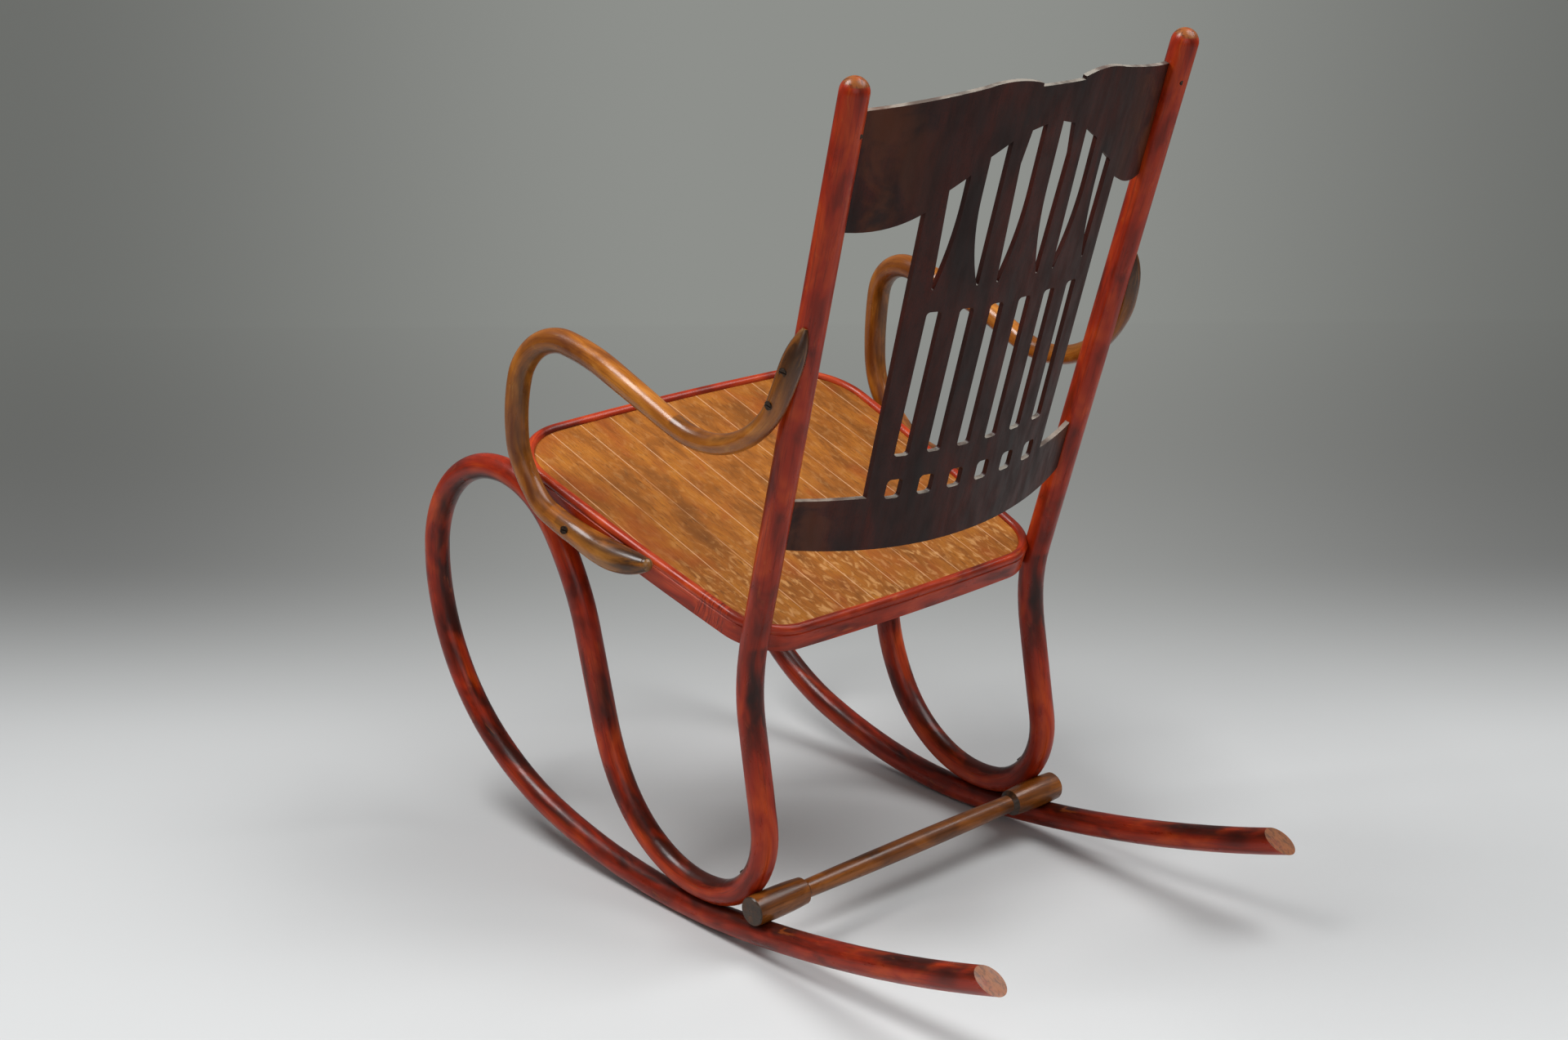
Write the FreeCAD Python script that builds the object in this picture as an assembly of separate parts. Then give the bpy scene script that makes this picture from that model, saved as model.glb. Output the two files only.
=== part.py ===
import FreeCAD, Part

import math
import os

V = FreeCAD.Vector

# Millimetres. The chair faces -Y, +Z is up and the plane X = 0 halves it.
# Lengths along a bend list run in side view. Radii are those of the rod's centreline.

# Side rods: one long bent rod a side, post, leg, U bend, front leg, loop, runner and tail
ROD_RADIUS = 15.0
RUNNER_RADIUS = 750.0
RUNNER_FRONT_TURN = 17.2
RUNNER_REAR_TURN = 6.6
TAIL_RADIUS = 1905.0
TAIL_TURN = 13.0
TAIL_CUT_ANGLE = 42.0
LOOP_FOOT_RADIUS = 343.0
LOOP_FOOT_TURN = 21.4
LOOP_LOW_RADIUS = 254.0
LOOP_LOW_TURN = 57.6
LOOP_FRONT_RADIUS = 138.0
LOOP_FRONT_TURN = 95.1
LOOP_TOP_RADIUS = 127.0
LOOP_TOP_TURN = 44.3
SHOULDER_RADIUS = 286.0
SHOULDER_TURN = 22.3
INSTEP_RADIUS = 249.0
INSTEP_TURN = 19.3
BEND_FRONT_RADIUS = 165.0
BEND_FRONT_TURN = 37.5
BEND_FOOT_RADIUS = 147.0
BEND_FOOT_TURN = 31.4
BEND_REAR_RADIUS = 94.0
BEND_REAR_TURN = 89.7
REAR_LEG_RUN = 112.5
HIP_RADIUS = 226.0
POST_LEAN = 15.4
POST_RUN = 619.0
SCARF_SHARE = 0.12
SCARF_LENGTH = 62.0
SCARF_SLANT = 1.25

# How far the rod's centreline stands from the middle of the chair
POST_TOP_SPREAD = 239.0
HIP_SPREAD = 219.5
BEND_SPREAD = 222.0
FRONT_LEG_SPREAD = 227.0
LOOP_SPREAD = 235.0
RUNNER_SPREAD = 223.0
TAIL_SPREAD = 231.0

# Depth of the shallow seats cut where one rod or rim beds on another
BEDDING = 1.0

# Blocks that cut a rod reach this far, and a cutting plane this much past the cut's end
CUT_REACH = 6.0 * ROD_RADIUS
CUT_MARGIN = 1.15

# Two directions count as the same from this cosine on, and a fillet stops short of half its wall
SAME_WAY = 0.99
FILLET_SHARE = 0.4975

# Seat: a bent hoop with a roll round its top, and a panel let in behind the roll
SEAT_CORNER_REAR_X = 160.0
SEAT_CORNER_FRONT_X = 168.0
SEAT_CORNER_SPAN = 295.0
SEAT_CORNER_REAR_RADIUS = 65.0
SEAT_CORNER_FRONT_RADIUS = 84.0
SEAT_BOW_RADIUS = 4300.0
SEAT_REAR_HEIGHT = 346.0
RIM_WIDTH = 24.0
RIM_WALL_HEIGHT = 19.5
RIM_HEIGHT = 30.0
RIM_ARRIS = 1.0
ROLL_WIDTH = 11.0
PANEL_THICKNESS = 6.5
PANEL_RECESS = 5.5
PANEL_GAP = 0.15

# Back panel: bowed plywood, its ends let into grooves in the posts
BACK_THICKNESS = 5.5
BACK_RAISE = 17.0
BACK_BOW_RADIUS = 520.0
BACK_BOW_CREST = 50.0
BACK_GROOVE_DEPTH = 8.0
BACK_BOTTOM_MIDDLE = 84.5
BACK_BOTTOM_END = 94.0
BACK_RAIL_TOP = 152.0
BACK_SIDE_BOTTOM = 132.5
BACK_SIDE_TOP = 139.0
BACK_WING_RADIUS = 135.0
BACK_WING_HEIGHT = 455.0
BACK_SHOULDER_HEIGHT = 578.0
BACK_CREST_HEIGHT = 611.0
BACK_NOTCH_HEIGHT = 603.0
BACK_NOTCH_HALF = 31.0
BACK_STEP_HEIGHT = 606.5
BACK_HUMP_X = 62.0
BACK_HUMP_END_X = 100.0
BACK_HUMP_END_HEIGHT = 605.5
BACK_WING_FLAT = 14.0
SLOT_COUNT = 3
SLOT_PITCH = 40.8
SLOT_WIDTH = 18.2
SLOT_BOTTOM = 199.5
SLOT_TOP = 366.5
SLOT_CORNER = 4.5
WINDOW_WIDTH = 19.0
WINDOW_BOTTOM = 148.5
WINDOW_TOP = 171.5
WINDOW_CORNER = 5.0
MIDDLE_SLAT_HALF = 11.4
TIP_RADIUS = 1.6
TIP_ABOVE_SLOTS = 26.5
FLARE_SHARE = 0.795

# The upper openings of one half: foot of the straight side, its corners above as (distance from
# the middle, depth below the crest), then the flared side's distance from the middle and depth
FLAMES = (
    (30.5, ((36.5, 89.0), (31.0, 54.0)), MIDDLE_SLAT_HALF, 49.0),
    (54.5, ((53.5, 63.0),), 77.5, 78.0),
    (112.5, ((118.0, 111.0),), 96.5, 96.0),
)

# Arms: a bent rod each, from the post forward, round and back along the rim
ARM_POST_RADIUS = 12.0
ARM_MIDDLE_RADIUS = 13.0
ARM_SEAT_RADIUS = 14.5
ARM_TIP_RADIUS = 3.0
ARM_TOP_HEIGHT = 727.0
ARM_TOP_BEHIND = 5.4
ARM_TOP_HEADING = -107.6
ARM_TAPER_RUN = 34.0
ARM_GRIP_RUN = 24.0
ARM_ELBOW_RADIUS = 125.0
ARM_ELBOW_TURN = 94.2
ARM_RISE_RUN = 38.7
ARM_CREST_RADIUS = 599.0
ARM_CREST_TURN = 13.9
ARM_NOSE_RADIUS = 64.2
ARM_NOSE_TURN = 85.0
ARM_BROW_RADIUS = 266.5
ARM_BROW_TURN = 15.9
ARM_DROP_RADIUS = 94.0
ARM_DROP_TURN = 58.3
ARM_END_RADIUS = 194.0
ARM_END_TURN = 39.0
ARM_END_LAND_SHARE = 0.2
ARM_END_TAPER_SHARE = 0.2
ARM_END_TIP_RADIUS = 8.0
ARM_END_DROP = 3.8
ARM_ELBOW_SPREAD = 262.5
ARM_RISE_SPREAD = 264.5
ARM_CREST_SPREAD = 262.5
ARM_NOSE_SPREAD = 275.0
ARM_BROW_SPREAD = 276.5
ARM_LAND_SPREAD = 269.0
ARM_FLAT = 1.5
ARM_TIP_SUNK = 1.0

# Rear stretcher: a turned rod with a thick collar at each end
STRETCHER_LENGTH = 484.0
STRETCHER_RADIUS = 11.0
STRETCHER_SWELL = 0.8
NECK_RADIUS = 10.4
COLLAR_RADIUS = 17.0
COLLAR_LENGTH = 74.0
COLLAR_TAPER = 5.0
COLLAR_EDGE = 1.5

# Screws and pins; arm screws lie at these distances along the arm, at the seat with a downward slant
SCREW_HEAD_RADIUS = 4.6
SCREW_HEAD_HEIGHT = 3.0
SCREW_PROUD = 0.8
SCREW_SHANK_RADIUS = 2.0
SCREW_SLOT_WIDTH = 1.2
SCREW_SLOT_DEPTH = 1.2
PIN_RADIUS = 2.6
PIN_LENGTH = 24.0
SCREW_SUNK = 0.5
RIM_SCREW_HEIGHT = 9.0
ARM_SCREW_LENGTH = 30.0
ARM_SEAT_SCREW_LENGTH = 34.0
STRETCHER_SCREW_LENGTH = 42.0
RIM_SCREW_LENGTH = 34.0
LOOP_SCREW_LENGTH = 44.0
ROCKER_SCREW_LENGTH = 40.0
PIN_INSET = 4.0
PIN_SUNK = 0.3
ARM_POST_SCREW_AT = (44.0, 84.0)
ARM_SEAT_SCREWS = ((28.0, 20.0), (85.0, 10.0))
PANEL_PIN_DEPTH = 16.0
SCREW_SLOT_WAY = V(0.3, 0.2, 1.0)

# Densities in kilograms per cubic metre, which settle how the chair rests on its rockers
WOOD_DENSITY = 700.0
STEEL_DENSITY = 7850.0


def turned(y, z, angle, distance):
    """Moves a side-view point a distance along a heading in degrees."""
    return (y + distance * math.cos(math.radians(angle)), z + distance * math.sin(math.radians(angle)))


def walk(y, z, heading, steps, finest=30.0):
    """Walks runs and bends in side view and lists (y, z, heading, distance, step) at each station.

    A step is ("run", length) or ("bend", radius, turn); a positive turn is anticlockwise with
    the rear of the chair to the right.
    """
    stations = [(y, z, heading, 0.0, -1)]
    gone = 0.0
    for number, step in enumerate(steps):
        if step[0] == "run":
            y, z = turned(y, z, heading, step[1])
            gone += step[1]
            stations.append((y, z, heading, gone, number))
            continue
        radius, turn = step[1], step[2]
        parts = max(1, math.ceil(abs(turn) / finest))
        share = turn / parts
        for _ in range(parts):
            chord = 2.0 * radius * math.sin(math.radians(abs(share)) / 2.0)
            y, z = turned(y, z, heading + share / 2.0, chord)
            heading += share
            gone += radius * math.radians(abs(share))
            stations.append((y, z, heading, gone, number))
    return stations


def spread_stations(stations, steps, spreads):
    """Lifts side-view stations to 3-D points and directions.

    spreads maps a step number to the distance from the middle of the chair at that step's end,
    with -1 for the start; in between, the distance changes evenly along the rod.
    """
    ends = {}
    for station in stations:
        ends[station[4]] = station[3]
    keys = sorted(spreads)
    xs = []
    for station in stations:
        gone = station[3]
        for low, high in zip(keys, keys[1:]):
            if gone <= ends[high] + 1e-9:
                break
        share = (gone - ends[low]) / (ends[high] - ends[low])
        xs.append(spreads[low] + share * (spreads[high] - spreads[low]))
    slopes = []
    last = len(stations) - 1
    for i in range(last + 1):
        before = None if i == 0 else (xs[i] - xs[i - 1]) / (stations[i][3] - stations[i - 1][3])
        after = None if i == last else (xs[i + 1] - xs[i]) / (stations[i + 1][3] - stations[i][3])
        if before is None:
            slope = after
        elif after is None:
            slope = before
        elif steps[stations[i][4]][0] == "run":
            slope = before
        elif steps[stations[i + 1][4]][0] == "run":
            slope = after
        else:
            slope = (before + after) / 2.0
        slopes.append(slope)
    placed = []
    for station, x, slope in zip(stations, xs, slopes):
        angle = math.radians(station[2])
        direction = V(slope, math.cos(angle), math.sin(angle))
        placed.append((V(x, station[0], station[1]), direction.normalize(), station[3]))
    return placed


def arc_edge(start, corner, end):
    """Makes the arc from start to end whose end tangents meet at corner, or a line if it is straight."""
    chord = end - start
    middle = (start + end) * 0.5
    rise = corner - middle
    if rise.Length < 1e-4 * chord.Length:
        return Part.LineSegment(start, end).toShape()
    half_turn = math.atan2(rise.Length, chord.Length / 2.0)
    sagitta = chord.Length / 2.0 * math.tan(half_turn / 2.0)
    top = middle + V(rise).normalize() * sagitta
    return Part.Arc(start, top, end).toShape()


def biarc_edges(start, start_way, end, end_way):
    """Joins two points with two tangent arcs that leave and arrive in the given directions."""
    gap = end - start
    ways = start_way + end_way
    along = gap.dot(ways)
    spread = 2.0 * (1.0 - start_way.dot(end_way))
    if spread < 1e-9:
        reach = gap.dot(gap) / (2.0 * along)
    else:
        reach = (-along + math.sqrt(along * along + spread * gap.dot(gap))) / spread
    first = start + start_way * reach
    second = end - end_way * reach
    middle = (first + second) * 0.5
    return [arc_edge(start, first, middle), arc_edge(middle, second, end)]


def path_wire(placed):
    """Makes one smooth wire of lines and arcs through placed stations."""
    edges = []
    for (start, start_way, _), (end, end_way, _) in zip(placed, placed[1:]):
        straight = (end - start).normalize()
        if straight.cross(start_way).Length < 1e-6 and straight.cross(end_way).Length < 1e-6:
            edges.append(Part.LineSegment(start, end).toShape())
        else:
            edges.extend(biarc_edges(start, start_way, end, end_way))
    return Part.Wire(edges)


def circle_wire(radius, centre, normal):
    """Makes a circle as a closed wire."""
    return Part.Wire([Part.Circle(centre, normal, radius).toShape()])


def tube(placed, radius):
    """Sweeps a round rod of one radius along placed stations."""
    wire = path_wire(placed)
    shell = wire.makePipeShell([circle_wire(radius, placed[0][0], placed[0][1])], True, False)
    return shell


def placed_shape(shape, origin, x_way, y_way):
    """Moves a shape drawn in X, Y, Z to axes x_way, y_way and their normal at origin."""
    z_way = x_way.cross(y_way)
    rotation = FreeCAD.Rotation(x_way, y_way, z_way, "ZXY")
    moved = shape.copy()
    moved.Placement = FreeCAD.Placement(origin, rotation).multiply(shape.Placement)
    return moved


def other_side(shape):
    """Mirrors a left-hand shape to the right-hand side of the chair."""
    return shape.mirror(V(0, 0, 0), V(1, 0, 0))


def loop_steps(leg_run):
    """Lists the rod's runs and bends in side view, from the floor contact to the top of the post."""
    to_leg = (RUNNER_FRONT_TURN + LOOP_FOOT_TURN + LOOP_LOW_TURN + LOOP_FRONT_TURN
              + LOOP_TOP_TURN + SHOULDER_TURN)
    through_bend = INSTEP_TURN + BEND_FRONT_TURN + BEND_FOOT_TURN + BEND_REAR_TURN
    rear_leg_heading = 180.0 - to_leg + through_bend
    hip_turn = 90.0 - POST_LEAN - rear_leg_heading
    return [
        ("bend", RUNNER_RADIUS, -RUNNER_FRONT_TURN),
        ("bend", LOOP_FOOT_RADIUS, -LOOP_FOOT_TURN),
        ("bend", LOOP_LOW_RADIUS, -LOOP_LOW_TURN),
        ("bend", LOOP_FRONT_RADIUS, -LOOP_FRONT_TURN),
        ("bend", LOOP_TOP_RADIUS, -LOOP_TOP_TURN),
        ("bend", SHOULDER_RADIUS, -SHOULDER_TURN),
        ("run", leg_run),
        ("bend", INSTEP_RADIUS, INSTEP_TURN),
        ("bend", BEND_FRONT_RADIUS, BEND_FRONT_TURN),
        ("bend", BEND_FOOT_RADIUS, BEND_FOOT_TURN),
        ("bend", BEND_REAR_RADIUS, BEND_REAR_TURN),
        ("run", REAR_LEG_RUN),
        ("bend", HIP_RADIUS, hip_turn),
        ("run", POST_RUN),
    ]


# Numbers of the steps above that other pieces refer to
LOOP_LOW, LOOP_FRONT, LOOP_TOP, LEG_RUN, BEND_FRONT, BEND_FOOT, BEND_REAR = 2, 3, 4, 6, 8, 9, 10
HIP, POST = 12, 13


def bend_centre(stations, number, steps):
    """Finds the centre of one bend in side view."""
    first = [s for s in stations if s[4] < number][-1]
    side = 90.0 if steps[number][2] > 0 else -90.0
    return turned(first[0], first[1], first[2] + side, steps[number][1])


def bend_clearance(leg_run):
    """Gives the least distance of the U bend's centreline from the runner's."""
    stations = walk(0.0, ROD_RADIUS, 180.0, loop_steps(leg_run), 2.0)
    bend = [s for s in stations if BEND_FRONT <= s[4] <= BEND_REAR]
    above = ROD_RADIUS + RUNNER_RADIUS
    return min(RUNNER_RADIUS - math.hypot(s[0], above - s[1]) for s in bend)


def solve(function, low, high):
    """Finds where a falling function crosses zero."""
    for _ in range(50):
        middle = (low + high) / 2.0
        if function(middle) > 0.0:
            low = middle
        else:
            high = middle
    return (low + high) / 2.0


# The front leg is as long as it takes for the U bend to bed on the runner
leg_run = solve(lambda run: bend_clearance(run) - (2.0 * ROD_RADIUS - BEDDING), 1.0, 600.0)
forward_steps = loop_steps(leg_run)
forward = walk(0.0, ROD_RADIUS, 180.0, forward_steps)
rear_steps = [("bend", RUNNER_RADIUS, RUNNER_REAR_TURN), ("bend", TAIL_RADIUS, TAIL_TURN)]
rearward = walk(0.0, ROD_RADIUS, 0.0, rear_steps)

# The scarf sits in the loop's front bend, so that bend is split there
front_start = [s for s in forward if s[4] < LOOP_FRONT][-1]
scarf_turn = math.degrees(SCARF_LENGTH / LOOP_FRONT_RADIUS)
lower_turn = (LOOP_FRONT_TURN - scarf_turn) * SCARF_SHARE
upper_turn = LOOP_FRONT_TURN - scarf_turn - lower_turn
split_steps = (forward_steps[:LOOP_FRONT]
               + [("bend", LOOP_FRONT_RADIUS, -turn) for turn in (lower_turn, scarf_turn, upper_turn)]
               + forward_steps[LOOP_FRONT + 1:])
split = walk(0.0, ROD_RADIUS, 180.0, split_steps)
SCARF = LOOP_FRONT + 1
spreads = {
    -1: RUNNER_SPREAD,
    LOOP_LOW: LOOP_SPREAD,
    LOOP_TOP + 2: LOOP_SPREAD,
    LEG_RUN + 2: FRONT_LEG_SPREAD,
    BEND_FOOT + 2: BEND_SPREAD,
    HIP + 2: HIP_SPREAD,
    POST + 2: POST_TOP_SPREAD,
}
rod = spread_stations(split, split_steps, spreads)
tail = spread_stations(rearward, rear_steps, {-1: RUNNER_SPREAD, 1: TAIL_SPREAD})
scarf_from = max(i for i, s in enumerate(split) if s[4] < SCARF)
scarf_to = max(i for i, s in enumerate(split) if s[4] == SCARF)
post_from = max(i for i, s in enumerate(split) if s[4] == HIP + 2)

# One walk for the rocker, from the tail's tip to the floor contact and on to the scarf
tail_reversed = [(point, way * -1.0, 0.0) for point, way, _ in reversed(tail)]
contact_way = (tail_reversed[-1][1] + rod[0][1]).normalize()
rocker_path = tail_reversed[:-1] + [(rod[0][0], contact_way, 0.0)] + rod[1:scarf_to + 1]
side_path = rod[scarf_from:]

post_low = rod[post_from][0]
post_top = rod[-1][0]
post_way = (post_top - post_low).normalize()


def post_at_height(z):
    """Finds the point of the post's centreline at a height."""
    return post_low + post_way * ((z - post_low.z) / post_way.z)


def scarf_block(side):
    """Makes the block on the outer (1) or inner (-1) side of the scarf's slanting cut."""
    start, end = rod[scarf_from][0], rod[scarf_to][0]
    middle = (start + end) * 0.5
    along = (end - start).normalize()
    outward = V(1, 0, 0).cross(along).normalize()
    slant = along * ((end - start).Length / 2.0) - outward * (ROD_RADIUS * SCARF_SLANT)
    half = slant.Length * CUT_MARGIN
    slant.normalize()
    across = V(-side, 0, 0)
    block = Part.makeBox(2.0 * half, CUT_REACH, CUT_REACH / 2.0)
    return placed_shape(block, middle - slant * half - across * (CUT_REACH / 2.0), slant, across)


def make_side_rod():
    """Post, rear leg, U bend, front leg and loop down to the scarf, with a domed top."""
    bent = tube(side_path, ROD_RADIUS)
    dome = Part.makeSphere(ROD_RADIUS, post_top)
    return bent.fuse(dome).removeSplitter().cut(scarf_block(-1))


def make_rocker(side_rod):
    """Lower front of the loop, runner and tail, bedded on the U bend and cut slantwise at its tip."""
    bent = tube(rocker_path, ROD_RADIUS).cut(scarf_block(1))
    tip, way = rocker_path[0][0], rocker_path[0][1] * -1.0
    upward = V(1, 0, 0).cross(way).normalize()
    lean = math.radians(TAIL_CUT_ANGLE)
    face_way = upward * math.cos(lean) - way * math.sin(lean)
    lowest = tip - upward * ROD_RADIUS
    block = Part.makeBox(CUT_REACH, CUT_REACH, CUT_REACH)
    corner = lowest - face_way * (CUT_REACH / 4.0) + V(CUT_REACH / 2.0, 0, 0)
    bent = bent.cut(placed_shape(block, corner, V(-1, 0, 0), face_way))
    pieces = bent.cut(side_rod).Solids
    return max(pieces, key=lambda piece: piece.Volume)


# The seat plane leans back from the loops to the posts
fine = walk(0.0, ROD_RADIUS, 180.0, forward_steps, 1.0)


def rear_rod_at(z):
    """Finds where the rear leg, hip and post pass a height, in side view."""
    rear = [s for s in fine if s[4] >= BEND_REAR]
    for low, high in zip(rear, rear[1:]):
        if low[1] <= z <= high[1]:
            share = (z - low[1]) / (high[1] - low[1])
            return low[0] + share * (high[0] - low[0])
    return rear[-1][0]


seat_y = rear_rod_at(SEAT_REAR_HEIGHT)


def loop_above_seat(tilt):
    """Gives how far the loop rises past the rim's underside at a seat tilt in degrees."""
    angle = math.radians(tilt)
    top = [s for s in fine if LOOP_LOW <= s[4] <= LEG_RUN]
    heights = [math.sin(angle) * (s[0] - seat_y) + math.cos(angle) * (s[1] - SEAT_REAR_HEIGHT) for s in top]
    return max(heights) + ROD_RADIUS - BEDDING


seat_tilt = math.radians(solve(loop_above_seat, 0.0, 45.0))
seat_origin = V(0, seat_y, SEAT_REAR_HEIGHT)
seat_back_way = V(0, math.cos(seat_tilt), -math.sin(seat_tilt))


def seat_crest_height(y):
    """Gives the height of the rim's crest at a distance front to back."""
    crest = seat_origin + V(0, math.sin(seat_tilt), math.cos(seat_tilt)) * RIM_HEIGHT
    return crest.z - math.tan(seat_tilt) * (y - crest.y)


def meeting_point(first, first_radius, second, second_radius, side):
    """Finds where two circles cross, to the left (1) or right (-1) of the line between them."""
    gap = second - first
    along = (gap.Length ** 2 + first_radius ** 2 - second_radius ** 2) / (2.0 * gap.Length)
    across = math.sqrt(first_radius ** 2 - along ** 2)
    way = gap.normalize()
    return first + way * along + V(-way.y, way.x, 0) * (across * side)


rear_reach = SEAT_CORNER_REAR_RADIUS + ROD_RADIUS - BEDDING
corner_rear = V(SEAT_CORNER_REAR_X, -math.sqrt(rear_reach ** 2 - (HIP_SPREAD - SEAT_CORNER_REAR_X) ** 2), 0)
corner_front = V(SEAT_CORNER_FRONT_X, corner_rear.y - SEAT_CORNER_SPAN, 0)
rear_gap = SEAT_BOW_RADIUS - SEAT_CORNER_REAR_RADIUS
front_gap = SEAT_BOW_RADIUS - SEAT_CORNER_FRONT_RADIUS
bow_rear = V(0, corner_rear.y - math.sqrt(rear_gap ** 2 - corner_rear.x ** 2), 0)
bow_front = V(0, corner_front.y + math.sqrt(front_gap ** 2 - corner_front.x ** 2), 0)
bow_side = meeting_point(corner_front, front_gap, corner_rear, rear_gap, 1)


def arc_about(centre, radius, start, end):
    """Makes the short arc about a centre between two points on it."""
    ways = (start - centre).normalize() + (end - centre).normalize()
    return Part.Arc(start, centre + ways.normalize() * radius, end).toShape()


def seat_outline(inset):
    """Makes the seat's outline, moved inward, drawn flat and starting at the middle of the front."""
    bow = SEAT_BOW_RADIUS - inset
    front = SEAT_CORNER_FRONT_RADIUS - inset
    rear = SEAT_CORNER_REAR_RADIUS - inset

    def touch(bow_centre, corner):
        return bow_centre + (corner - bow_centre).normalize() * bow

    start = bow_front + V(0, -bow, 0)
    back = bow_rear + V(0, bow, 0)
    half = [
        (bow_front, bow, start, touch(bow_front, corner_front)),
        (corner_front, front, touch(bow_front, corner_front), touch(bow_side, corner_front)),
        (bow_side, bow, touch(bow_side, corner_front), touch(bow_side, corner_rear)),
        (corner_rear, rear, touch(bow_side, corner_rear), touch(bow_rear, corner_rear)),
        (bow_rear, bow, touch(bow_rear, corner_rear), back),
    ]
    edges = [arc_about(*piece) for piece in half]
    for centre, radius, first, last in reversed(half):
        mirrored = [V(-p.x, p.y, 0) for p in (centre, last, first)]
        edges.append(arc_about(mirrored[0], radius, mirrored[1], mirrored[2]))
    return Part.Wire(edges)


def in_seat(shape):
    """Moves a shape drawn flat to the seat plane, with Z = 0 on the rim's underside."""
    return placed_shape(shape, seat_origin, V(1, 0, 0), seat_back_way)


def seat_point(point):
    """Moves one point drawn flat to the seat plane."""
    back = seat_back_way * point.y
    return seat_origin + V(point.x, 0, 0) + back + V(1, 0, 0).cross(seat_back_way) * point.z


def make_seat_rim():
    """Bent hoop with a plain outer wall, a roll round its top and a ledge for the panel."""
    front = bow_front.y - SEAT_BOW_RADIUS
    panel_top = RIM_HEIGHT - PANEL_RECESS
    ledge = panel_top - PANEL_THICKNESS

    def point(inset, height):
        return V(0, front + inset, height)

    wall_top = point(0, RIM_WALL_HEIGHT)
    roll_start = point(RIM_ARRIS, RIM_WALL_HEIGHT + RIM_ARRIS)
    roll_end = point(ROLL_WIDTH, panel_top)
    roll = Part.Arc(roll_start, point(ROLL_WIDTH / 2.0 + RIM_ARRIS / 2.0, RIM_HEIGHT), roll_end).toShape()
    corners = [roll_end, point(ROLL_WIDTH, ledge), point(RIM_WIDTH, ledge), point(RIM_WIDTH, 0),
               point(0, 0), wall_top, roll_start]
    section = Part.Wire([roll] + Part.makePolygon(corners).Edges)
    return in_seat(seat_outline(0).makePipeShell([section], True, False))


def make_seat_panel():
    """Thin panel that lies on the rim's ledge behind the roll."""
    panel = Part.Face(seat_outline(ROLL_WIDTH + PANEL_GAP)).extrude(V(0, 0, PANEL_THICKNESS))
    panel.translate(V(0, 0, RIM_HEIGHT - PANEL_RECESS - PANEL_THICKNESS))
    return in_seat(panel)


# The back panel is drawn with X across, Y up the posts and Z forward
back_up = V(0, math.sin(math.radians(POST_LEAN)), math.cos(math.radians(POST_LEAN)))
back_origin = V(0, post_low.y, post_low.z) + back_up * BACK_RAISE
post_splay = (POST_TOP_SPREAD - HIP_SPREAD) / POST_RUN


def groove_x(height):
    """Gives how far out the panel's end lies in the post's groove."""
    return HIP_SPREAD + (height + BACK_RAISE) * post_splay - ROD_RADIUS + BACK_GROOVE_DEPTH


def line(start, end):
    """Makes a straight edge between two points."""
    return Part.LineSegment(start, end).toShape()


def rounded_box(x, low, high, width, corner):
    """Makes an upright opening with rounded corners, centred on x."""
    left, right = x - width / 2.0, x + width / 2.0
    shape = Part.makeBox(width, high - low, 1.0, V(left, low, 0))
    upright = [e for e in shape.Edges if abs(e.tangentAt(e.FirstParameter).z) > SAME_WAY]
    return shape.makeFillet(min(corner, width * FILLET_SHARE, (high - low) * FILLET_SHARE), upright)


# The flared sides all end at one height, a share of the way up the lowest of them
tip_height = SLOT_TOP + TIP_ABOVE_SLOTS
lowest_flare = BACK_CREST_HEIGHT - max(flame_sizes[3] for flame_sizes in FLAMES)
flare_rise = (lowest_flare - tip_height) * FLARE_SHARE


def flame(bottom_x, top, flare_x, flare_depth):
    """Makes one upper opening: a straight side, a side that flares in a curve, and a round tip.

    top lists the corners of the straight side above the tip, lowest first.
    """
    side = 1.0 if flare_x > bottom_x else -1.0
    low = V(bottom_x, tip_height, 0)
    tip = V(bottom_x + side * 2.0 * TIP_RADIUS, tip_height, 0)
    bend = V(flare_x, tip_height + flare_rise, 0)
    reach = abs(flare_x - tip.x)
    radius = (flare_rise ** 2 + reach ** 2) / (2.0 * reach)
    corners = [low] + [V(x, BACK_CREST_HEIGHT - depth, 0) for x, depth in top]
    corners += [V(flare_x, BACK_CREST_HEIGHT - flare_depth, 0), bend]
    edges = [line(a, b) for a, b in zip(corners, corners[1:])]
    edges.append(arc_about(V(flare_x - side * radius, bend.y, 0), radius, bend, tip))
    edges.append(Part.Arc(tip, (low + tip) * 0.5 + V(0, -TIP_RADIUS, 0), low).toShape())
    return Part.Face(Part.Wire(edges)).extrude(V(0, 0, 1))


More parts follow.
